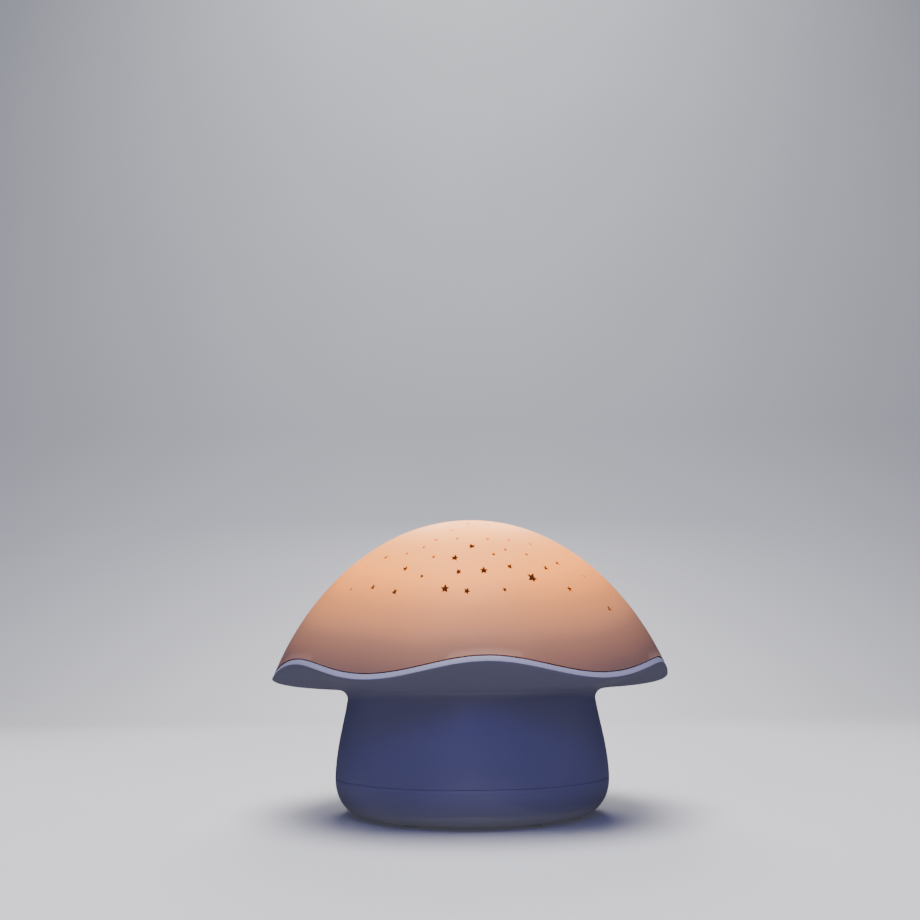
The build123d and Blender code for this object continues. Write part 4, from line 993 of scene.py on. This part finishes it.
class NIGHTLIGHT_OT_foot(bpy.types.Operator):
    """Model the rounded foot with the cell bay, door recess, pockets and posts"""

    bl_idname = "nightlight.foot"
    bl_label = "Foot"

    def execute(self, context):
        wall, soft = sizes().body_wall, sizes().edge_radius
        top = SEAM_HEIGHT - SEAM_GAP / 2
        lip = stem_radius(SEAM_HEIGHT + SEAM_GAP / 2) - wall - LIP_GAP
        side = foot_points(0.0, 16)[:-1]
        outline = [(0.0, BASE_BOTTOM), (FOOT_FLAT_RADIUS / 2, BASE_BOTTOM)] + side
        step = top + SEAM_GAP * 0.9
        outline += arc_points((BELLY_RADIUS - SEAM_EDGE, top - SEAM_EDGE), SEAM_EDGE, 10, 90, 4)
        outline += [(BELLY_RADIUS - 0.00025, top), (BELLY_RADIUS - 0.0003, step), (lip, step)]
        outline += [(lip, top + LIP_HEIGHT), (lip - LIP_WALL, top + LIP_HEIGHT + 0.0002)]
        inner = [point for point in foot_points(wall, 12) if point[0] < lip - LIP_WALL]
        outline += [(lip - LIP_WALL, inner[-1][1] + 0.001)] + inner[::-1]
        outline += [(0.0, BASE_BOTTOM + wall)]
        foot = turned("foot", outline)

        floor = BASE_BOTTOM + wall - 0.00005
        bay_top = BAY_HIGH.z + BAY_WALL
        walls = Vector((BAY_WALL, BAY_WALL, 0))
        added = [block((*(BAY_LOW - walls).xy, floor), (*(BAY_HIGH + walls).xy, bay_top))]
        added += [bar(SCREW_POST, floor, 0.0165, at(x, y))
                  for x, y in corners(BASE_SCREW_X, BASE_SCREW_Y)]
        added.append(bar(SCREW_POST, floor, 0.01125, at(DOOR_SCREW_X, 0)))
        added += [bar(0.0025, bay_top - 0.0005, bay_top + 0.0026, at(x, y), 32)
                  for x, y in corners(BOARD_POST_X, BOARD_POST_Y)]
        combined(foot, added, "UNION")

        recess = door_blank(DOOR_GAP, BASE_BOTTOM - 0.001, DOOR_TOP + 0.0001)
        cuts = [block((*BAY_LOW.xy, 0.0), BAY_HIGH), recess]
        for y in (-TONGUE_Y, TONGUE_Y):
            cuts.append(block((-0.03235, y - 0.0038, 0.0025), (-0.028, y + 0.0038, 0.0052)))
        for x, y in ((-0.02805, -CELL_PITCH), (0.02805, CELL_PITCH)):
            cuts.append(block((x - 0.0006, y - 0.0018, 0.017), (x + 0.0006, y + 0.0018, 0.021)))
        for x, y in corners(BASE_SCREW_X, BASE_SCREW_Y):
            cuts.append(bar(0.0016, 0.0, 0.018, at(x, y), 32))
            cuts.append(bar(0.003, 0.0, BASE_BOTTOM + 0.0052, at(x, y)))
        cuts.append(bar(0.00195, 0.0, 0.0091, at(DOOR_SCREW_X, 0), 32))
        for x, y in corners(BOARD_POST_X, BOARD_POST_Y):
            cuts.append(bar(0.00105, bay_top + 0.0002, bay_top + 0.004, at(x, y), 24))
        for x, y in corners(PAD_X, PAD_Y):
            cuts.append(bar(PAD_RADIUS + 0.0001, 0.0, BASE_BOTTOM + PAD_RECESS, at(x, y), 64))
        combined(foot, cuts, "DIFFERENCE")
        soften_underside(foot, soft)
        smoothed(foot)
        finished(foot, "housing", "body_plastic", body_finish(), "base_shell")
        return {"FINISHED"}


def soften_underside(piece, width):
    """Rounds the edges of the openings in the flat underside."""
    edit(piece)
    bpy.ops.mesh.select_mode(type="EDGE")
    bpy.ops.mesh.edges_select_sharp(sharpness=radians(60))
    bpy.ops.object.mode_set(mode="OBJECT")
    points = piece.data.vertices
    for line in piece.data.edges:
        level = all(abs(points[index].co.z - BASE_BOTTOM) < 1e-6 for index in line.vertices)
        line.select = line.select and level
    bpy.ops.object.mode_set(mode="EDIT")
    bpy.ops.mesh.bevel(offset=width, segments=2, affect="EDGES", clamp_overlap=True)
    bpy.ops.object.mode_set(mode="OBJECT")


def door_blank(margin, low, high):
    """Plate with a round ear for the door's screw, grown by a margin."""
    half_length, half_width = DOOR_HALF_LENGTH + margin, DOOR_HALF_WIDTH + margin
    ear = EAR_RADIUS + margin
    outline = [(-half_length, -half_width), (half_length, -half_width), (half_length, -ear)]
    outline += arc_points((DOOR_SCREW_X, 0.0), ear, -90, 90, 48)
    outline += [(half_length, ear), (half_length, half_width), (-half_length, half_width)]
    return extruded([(x, y, low) for x, y in outline], (0, 0, high - low))


class NIGHTLIGHT_OT_battery_door(bpy.types.Operator):
    """Model the battery door with its ear, tongues, finger notch and grip ribs"""

    bl_idname = "nightlight.battery_door"
    bl_label = "Battery door"

    def execute(self, context):
        soft = sizes().edge_radius
        door = door_blank(0.0, BASE_BOTTOM, DOOR_TOP)
        door.name = "battery_door_cover"
        hook = [(-0.02943, 0.0024), (-0.02825, 0.0024), (-0.02825, 0.0042)]
        hook += [(-0.03175, 0.0042), (-0.03175, 0.0031), (-0.02943, 0.0031)]
        for y in (-TONGUE_Y, TONGUE_Y):
            tongue = extruded([(x, y - 0.0035, z) for x, z in hook], (0, 0.007, 0))
            combined(door, [tongue], "UNION")
        rounded(door, soft, segments=3)
        ear = at(DOOR_SCREW_X, 0)
        notch = block((0.02505, -0.0049, 0.0), (0.02725, 0.0049, 0.0019))
        ends = [bar(0.0011, 0.0, 0.0019, at(0.02615, y), 32) for y in (-0.0049, 0.0049)]
        combined(notch, ends, "UNION")
        holes = [bar(0.0028, 0.0, DOOR_SCREW_SEAT, ear), bar(0.00138, 0.0, 0.004, ear, 32), notch]
        combined(door, holes, "DIFFERENCE")
        ribs = []
        for index in range(4):
            x = 0.0225 - 0.0026 * index
            rib = bar(0.0006, -0.007, 0.007, sides=16)
            rib.data.transform(at(x, 0, BASE_BOTTOM + 0.00025) @ Matrix.Rotation(pi / 2, 4, "X"))
            ribs.append(rounded(rib, 0.00035, segments=3, angle=60))
        combined(door, ribs, "UNION")
        smoothed(door)
        finished(door, "battery_door", "body_plastic", body_finish(), "battery_door")
        return {"FINISHED"}


class NIGHTLIGHT_OT_foot_pads(bpy.types.Operator):
    """Model one rubber pad with a ribbed sole and copy it to its four recesses"""

    bl_idname = "nightlight.foot_pads"
    bl_label = "Foot pads"

    def execute(self, context):
        top = BASE_BOTTOM + PAD_RECESS
        outline = [(0.0, 0.00012), (0.0008, 0.00008)]
        for ring in (0.0012, 0.002, 0.0028):
            outline += [
                (ring - 0.0001, 0.0), (ring + 0.00015, 0.0),
                (ring + 0.00025, 0.00018), (ring + 0.00045, 0.00018),
            ]
        outline += [(0.0034, 0.0)] + arc_points((0.0037, 0.0003), 0.0003, -90, 0, 4)
        outline += [(PAD_RADIUS, BASE_BOTTOM), (PAD_RADIUS, top), (0.0, top)]
        pad = smoothed(turned("pad", outline, steps=64))
        # The rubber's pale grey-blue is painted light: lighter than bare rubber, to lift the pads
        # out of the contact shadow.
        finish = moulding(
            "Foot rubber", (0.46, 0.46, 0.54), 0.72, contrast=0.1, drift=200.0,
            texture={"grain": 5000.0, "patches": 300.0, "depth": 0.00003},
        )
        for number, (x, y) in enumerate(corners(PAD_X, PAD_Y), start=1):
            piece = copied(pad, f"rubber_pad_{number}", at(x, y))
            finished(piece, "housing", "pad_rubber", finish, f"foot_pad_{number}")
        discard(pad)
        return {"FINISHED"}


class NIGHTLIGHT_OT_power_button(bpy.types.Operator):
    """Model the dished power button at the rear of the stem"""

    bl_idname = "nightlight.power_button"
    bl_label = "Power button"

    def execute(self, context):
        proud, soft = 0.0013, 0.0008
        outline = [(0.0, 0.0007), (0.0015, 0.00072), (0.003, 0.0008), (0.0044, 0.00097)]
        outline += [(0.0052, 0.00115), (0.0057, 0.00127)]
        outline += arc_points((BUTTON_RADIUS - soft, proud - soft), soft, 90, 0, 8)
        outline += [(BUTTON_RADIUS, -0.0035), (0.0085, -0.0035), (0.0085, -0.0047)]
        outline += [(0.0025, -0.0047), (0.0025, -0.00735), (0.0, -0.00735)]
        button = turned("power_button_cap", outline, steps=96)
        button.data.transform(BUTTON_FRAME)
        smoothed(button)
        finished(button, "power_button", "body_plastic", body_finish(), "power_button")
        return {"FINISHED"}


def pan_screw(head, head_height, shank, length):
    """Pan head screw with a cross recess and a threaded shank, standing under the XY plane."""
    crown, reach = head_height, head / 2
    outline = [(0.0, crown), (reach * 0.45, crown * 0.97), (reach * 0.8, crown * 0.8)]
    outline += [(reach * 0.95, crown * 0.5), (reach, crown * 0.12), (reach * 0.97, 0.0)]
    outline += [(shank / 2, 0.0), (shank / 2, -0.0006)]
    pitch = shank * 0.32
    turns = int((length - 0.0006 - shank * 0.4) / pitch)
    for index in range(turns):
        level = -0.0006 - pitch * index
        outline += [(shank * 0.41, level - pitch * 0.35), (shank * 0.41, level - pitch * 0.55)]
        outline += [(shank / 2, level - pitch * 0.95), (shank / 2, level - pitch)]
    outline += [(shank * 0.38, -length + shank * 0.3), (shank * 0.15, -length), (0.0, -length)]
    screw = turned("screw", outline, steps=40)
    width, arm = head * 0.13, head * 0.27
    cross = block((-arm, -width / 2, crown - 0.0007), (arm, width / 2, crown + 0.001))
    other = block((-width / 2, -arm, crown - 0.0007), (width / 2, arm, crown + 0.001))
    combined(screw, [cross, other], "DIFFERENCE")
    return smoothed(screw)


class NIGHTLIGHT_OT_screws(bpy.types.Operator):
    """Model the three sizes of screw and copy them to their places"""

    bl_idname = "nightlight.screws"
    bl_label = "Screws"

    def execute(self, context):
        steel = steel_finish()
        down = Matrix.Rotation(pi, 4, "X")

        def placed(screw, name, body, node, places):
            copies = [copied(screw, f"{name}_{number}", place)
                      for number, place in enumerate(places, start=1)]
            finished(joined(copies), body, "screw_steel", steel, node).name = name

        screw = pan_screw(*DOOR_SCREW)
        place = at(DOOR_SCREW_X, 0, DOOR_SCREW_SEAT) @ down
        placed(screw, "door_screw_steel", "door_screw", "battery_door_screw", [place])
        discard(screw)
        screw = pan_screw(*BASE_SCREW)
        foot = [at(x, y, 0.006) @ down for x, y in corners(BASE_SCREW_X, BASE_SCREW_Y)]
        placed(screw, "foot_screws_steel", "housing", "base_screws", foot)
        discard(screw)
        screw = pan_screw(*BOARD_SCREW)
        tray = [Matrix.Rotation(radians(turn), 4, "Z") @ at(TRAY_BOSS_PLACE, 0, 0.045)
                for turn in TRAY_BOSS_TURNS]
        placed(screw, "tray_screws_steel", "housing", "light_tray_screws", tray)
        lamp = [at(x, 0, 0.0544) for x in (-0.0076, 0.0076)]
        placed(screw, "lamp_screws_steel", "housing", "lamp_board_screws", lamp)
        board = [at(x, y, 0.0242) for x, y in corners(BOARD_POST_X, BOARD_POST_Y)]
        placed(screw, "board_screws_steel", "housing", "main_board_screws", board)
        back = [BUTTON_FRAME @ at(x, 0, -SWITCH_BOARD_BACK) @ down
                for x in (-SWITCH_POST_X, SWITCH_POST_X)]
        placed(screw, "switch_screws_steel", "housing", "switch_board_screws", back)
        discard(screw)
        return {"FINISHED"}


class NIGHTLIGHT_OT_cells(bpy.types.Operator):
    """Model one sleeved cell, copy it head to tail, and finish the contacts"""

    bl_idname = "nightlight.cells"
    bl_label = "Cells and contacts"

    def execute(self, context):
        half, edge = CELL_LENGTH / 2, 0.0006
        shoulder = half - 0.0012
        outline = [(0.0, -half + 0.0001), (0.0045, -half), (0.0052, -half + 0.0003)]
        outline += [(0.0058, -half + 0.0003)]
        outline += arc_points((CELL_RADIUS - edge, -half + edge), edge, -90, 0, 5)
        outline += arc_points((CELL_RADIUS - edge, shoulder - edge), edge, 0, 90, 5)
        outline += [(0.0054, shoulder), (0.0050, shoulder - 0.0003), (0.0028, shoulder - 0.0002)]
        outline += [(0.00275, shoulder), (0.00275, half - 0.0003), (0.0024, half), (0.0, half)]
        cell = smoothed(turned("cell", outline, steps=72))
        for index, name in enumerate(("battery_cell_1", "battery_cell_2", "battery_cell_3")):
            toward = 1 if index % 2 == 0 else -1
            low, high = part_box(name)
            middle = (low.x + high.x) / 2
            place = at(middle, (index - 1) * CELL_PITCH, CELL_AXIS)
            place = place @ Matrix.Rotation(toward * pi / 2, 4, "Y")
            piece = copied(cell, f"sleeved_cell_{index + 1}", place)
            finish = sleeve_finish(f"Cell sleeve {index + 1}", middle, toward)
            finished(piece, "housing", "cell_can", finish, name)
        discard(cell)
        nickel = moulding(
            "Nickel plated spring steel", (0.66, 0.64, 0.60), 0.28, spread=0.08, drift=300.0,
            contrast=0.1, Metallic=1.0,
            texture={"grain": 5000.0, "patches": 500.0, "depth": 0.000005, "rubs": 0.2},
        )
        finish_nodes(nickel, "contact_negative", "contact_positive")
        finish_nodes(nickel, "contact_bridge_left", "contact_bridge_right")
        return {"FINISHED"}


def sleeve_finish(name, middle, toward):
    """Shrunk cell sleeve: a dark barrel, a bronze band by the nub and bare ends."""
    material, tree, principled, vector = new_finish(name, Coat_Weight=0.4, Coat_Roughness=0.15)
    parts = add_node(tree, "SeparateXYZ", -900, 250, Vector=vector)
    half = toward * CELL_LENGTH / 2
    along = ranged(tree, -700, 250, parts.outputs["X"], middle - half, middle + half)
    bare, barrel, bronze = (0.55, 0.55, 0.57), (0.03, 0.035, 0.05), (0.50, 0.26, 0.10)
    tint = colour_ramp(
        tree, -500, 250, along, [(0.0, bare), (0.012, barrel), (0.68, bronze), (0.966, bare)], True,
    )
    metal = colour_ramp(
        tree, -500, 0, along, [(0.0, (1,) * 3), (0.012, (0.35,) * 3), (0.966, (1,) * 3)], True,
    )
    fed(tree, principled, Base_Color=tint, Metallic=metal)
    textured(tree, principled, vector, 0.32, 0.06, grain=1500.0, patches=200.0, rubs=0.15)
    return material


def board_finish():
    """Printed board: green mask over fine tracks, with a glass weave under it."""
    name = "Printed board"
    if name in bpy.data.materials:
        return bpy.data.materials[name]
    material, tree, principled, vector = new_finish(name, Coat_Weight=0.5, Coat_Roughness=0.2)
    tracks = add_node(
        tree, "TexBrick", -800, 250, Vector=vector, Scale=1.0, Mortar_Size=0.00035,
        Brick_Width=0.0076, Row_Height=0.00254, Color1=(0.012, 0.085, 0.04, 1.0),
        Color2=(0.016, 0.105, 0.05, 1.0), Mortar=(0.045, 0.24, 0.10, 1.0),
    )
    tones = placed_group(
        tree, tones_group(), -800, -50, Vector=vector, Drift=120.0,
        First=(0.012, 0.085, 0.04, 1.0), Second=(0.02, 0.12, 0.055, 1.0),
    )
    colour = mixed(tree, -400, 150, 0.4, tracks.outputs["Color"], tones.outputs["Color"])
    fed(tree, principled, Base_Color=colour)
    textured(tree, principled, vector, 0.38, 0.05, grain=3500.0, patches=400.0, depth=0.00001)
    return material


class NIGHTLIGHT_OT_electronics(bpy.types.Operator):
    """Finish the boards, what they carry, and the leads"""

    bl_idname = "nightlight.electronics"
    bl_label = "Boards and leads"

    def execute(self, context):
        finish_nodes(board_finish(), "main_board", "lamp_board", "switch_board")
        fine = {"grain": 6000.0, "patches": 500.0, "depth": 0.00001}
        for name, colour, roughness, drift, more, *nodes in (
            (
                "Black epoxy", (0.018, 0.018, 0.02), 0.5, 400.0, {"contrast": 0.2},
                "controller_chip", "switch_body",
            ),
            ("Red acetal", (0.42, 0.03, 0.02), 0.35, 300.0, {}, "switch_plunger"),
            ("Ivory nylon", (0.66, 0.58, 0.44), 0.45, 250.0, {}, "lead_sockets"),
            (
                "Capacitor sleeve", (0.03, 0.05, 0.12), 0.3, 200.0, {"Coat_Weight": 0.5},
                "storage_capacitor",
            ),
            ("Red lead sleeve", (0.45, 0.03, 0.025), 0.4, 150.0, {}, "battery_leads"),
            ("White lead sleeve", (0.72, 0.72, 0.70), 0.4, 150.0, {}, "lamp_leads"),
            ("Grey lead sleeve", (0.22, 0.22, 0.24), 0.4, 150.0, {}, "switch_leads"),
        ):
            finish = moulding(name, colour, roughness, drift=drift, texture=fine, **more)
            finish_nodes(finish, *nodes)
        return {"FINISHED"}


class NIGHTLIGHT_OT_lamp(bpy.types.Operator):
    """Finish the lamp, its tray and the frosted dome that closes the stars"""

    bl_idname = "nightlight.lamp"
    bl_label = "Lamp and liner"

    def execute(self, context):
        tray = moulding("White tray plastic", (0.72, 0.72, 0.70), 0.45, contrast=0.04)
        finish_nodes(tray, "light_tray")
        # Painted glow: the liner emits a faint amber.
        liner = moulding(
            "Amber liner", (0.16, 0.06, 0.03), 0.35, IOR=1.49, Transmission_Weight=0.3,
            Emission_Color=(0.06, 0.02, 0.01, 1.0), Emission_Strength=1.0,
        )
        finish_nodes(liner, "cap_liner")
        phosphor = moulding(
            "Lamp phosphor", (0.80, 0.62, 0.16), 0.3, drift=900.0, contrast=0.15,
            texture={"grain": 6000.0, "patches": 800.0}, Coat_Weight=0.8,
        )
        finish_nodes(phosphor, "lamp_emitter")
        return {"FINISHED"}


# ---- stage ----

def soft_light(name, place, aim, size, power, tint):
    """Square soft light that faces a point."""
    deselect()
    bpy.ops.object.light_add(type="AREA", location=place)
    light = bpy.context.object
    light.name = name
    light.rotation_euler = (Vector(aim) - Vector(place)).to_track_quat("-Z", "Y").to_euler()
    light.data.size = size
    light.data.energy = power
    light.data.color = tint


class NIGHTLIGHT_OT_stage(bpy.types.Operator):
    """Lay the pale floor, set the soft lights and place the camera"""

    bl_idname = "nightlight.stage"
    bl_label = "Stage"

    def execute(self, context):
        bend = arc_points((BEND_AT, BEND_RADIUS), BEND_RADIUS, -90, 0, 10)
        sweep = [(FLOOR_START, 0.0), *bend, (BEND_AT + BEND_RADIUS, WALL_TOP)]
        deselect()
        bpy.ops.mesh.primitive_plane_add(size=1)
        floor = bpy.context.object
        floor.name = "studio_floor"
        floor.data.transform(at(0, FLOOR_START - 0.1) @ Matrix.Diagonal((FLOOR_WIDTH, 0.2, 1, 1)))
        select_points(floor, lambda place: place.y > FLOOR_START - 0.05)
        for here, there in zip(sweep, sweep[1:]):
            step = (0, there[0] - here[0], there[1] - here[1])
            bpy.ops.mesh.extrude_region_move(TRANSFORM_OT_translate={"value": step})
        bpy.ops.object.mode_set(mode="OBJECT")
        floor.data.materials.append(floor_finish())
        smoothed(floor)

        for light in SOFT_LIGHTS:
            soft_light(*light)
        context.scene.world = pale_room()

        deselect()
        bpy.ops.object.camera_add()
        camera = bpy.context.object
        camera.name = "front_camera"
        camera.data.lens = CAMERA_LENS
        camera.data.sensor_width = 36.0
        camera.data.clip_start = 0.01
        camera.matrix_world = (
            at(*CAMERA_PLACE) @ Matrix.Rotation(CAMERA_TURN, 4, "Z")
            @ Matrix.Rotation(pi / 2 + CAMERA_TILT, 4, "X") @ Matrix.Rotation(CAMERA_ROLL, 4, "Z")
        )
        context.scene.camera = camera
        return {"FINISHED"}


def pale_room():
    """World that is pale to look at, with a cooler and weaker fill above the floor only."""
    world = bpy.data.worlds.new("Pale room")
    world.use_nodes = True
    tree = world.node_tree
    place = add_node(tree, "TexCoord", -900, 0)
    parts = add_node(tree, "SeparateXYZ", -700, 0, Vector=place.outputs["Generated"])
    above = ranged(tree, -500, 0, parts.outputs["Z"], -0.02, 0.02)
    ray = add_node(tree, "LightPath", -700, 350)
    fill = mixed(tree, -450, 250, above, (0.0, 0.0, 0.0, 1.0), (0.22, 0.226, 0.415, 1.0))
    colour = mixed(tree, -200, 0, ray.outputs["Is Camera Ray"], fill, (1.0, 1.0, 1.02, 1.0))
    fed(tree, tree.nodes["Background"], Color=colour, Strength=0.5)
    return world


def floor_finish():
    """Pale matt floor. It throws little light back, and is clear from underneath."""
    material, tree, principled, vector = new_finish("Pale floor")
    tones = placed_group(
        tree, tones_group(), -800, 0, Vector=vector, Drift=2.0,
        First=shaded(colours().floor, 0.98), Second=shaded(colours().floor, 1.02),
    )
    ray = add_node(tree, "LightPath", -800, 600)
    seen = mixed(
        tree, -500, 150, ray.outputs["Is Camera Ray"], (0.03, 0.03, 0.05, 1.0),
        tones.outputs["Color"],
    )
    fed(tree, principled, Base_Color=seen)
    textured(tree, principled, vector, 0.7, 0.05, grain=300.0, patches=6.0, depth=0.00005)
    side = add_node(tree, "NewGeometry", -100, 300)
    clear = add_node(tree, "BsdfTransparent", 100, 250)
    lets_by = (side.outputs["Backfacing"], ray.outputs["Is Shadow Ray"])
    passes = worked_out(tree, 150, 450, "MAXIMUM", *lets_by)
    either = add_node(tree, "MixShader", 400, 200, Fac=passes)
    feed(tree, either.inputs[1], principled.outputs["BSDF"])
    feed(tree, either.inputs[2], clear.outputs["BSDF"])
    output = fed(tree, tree.nodes["Material Output"], Surface=either.outputs["Shader"])
    output.location = (600, 200)
    return material


# ---- panel and registration ----

OPERATORS = (
    NIGHTLIGHT_OT_stage,
    NIGHTLIGHT_OT_cap,
    NIGHTLIGHT_OT_stem,
    NIGHTLIGHT_OT_foot,
    NIGHTLIGHT_OT_battery_door,
    NIGHTLIGHT_OT_foot_pads,
    NIGHTLIGHT_OT_power_button,
    NIGHTLIGHT_OT_screws,
    NIGHTLIGHT_OT_cells,
    NIGHTLIGHT_OT_electronics,
    NIGHTLIGHT_OT_lamp,
)


class NIGHTLIGHT_PT_panel(bpy.types.Panel):
    """Sizes, colours and the steps that build the night light."""

    bl_label = "Night light"
    bl_space_type = "VIEW_3D"
    bl_region_type = "UI"
    bl_category = "Night light"

    def draw(self, context):
        for group in (context.scene.night_light_sizes, context.scene.night_light_colours):
            box = self.layout.box()
            for name in group.__annotations__:
                box.prop(group, name)
        for operator in OPERATORS:
            self.layout.operator(operator.bl_idname)


CLASSES = (NightLightSizes, NightLightColours, *OPERATORS, NIGHTLIGHT_PT_panel)


def register():
    """Adds the classes, and the sizes and colours of the scene."""
    for kind in CLASSES:
        bpy.utils.register_class(kind)
    bpy.types.Scene.night_light_sizes = PointerProperty(type=NightLightSizes)
    bpy.types.Scene.night_light_colours = PointerProperty(type=NightLightColours)


def unregister():
    """Takes them away again."""
    del bpy.types.Scene.night_light_sizes
    del bpy.types.Scene.night_light_colours
    for kind in reversed(CLASSES):
        bpy.utils.unregister_class(kind)


def main():
    """Builds the night light and its stage."""
    register()
    bpy.ops.nightlight.stage()
    bpy.ops.nightlight.cap()
    bpy.ops.nightlight.stem()
    bpy.ops.nightlight.foot()
    bpy.ops.nightlight.battery_door()
    bpy.ops.nightlight.foot_pads()
    bpy.ops.nightlight.power_button()
    bpy.ops.nightlight.screws()
    bpy.ops.nightlight.cells()
    bpy.ops.nightlight.electronics()
    bpy.ops.nightlight.lamp()


if __name__ == "__main__":
    main()
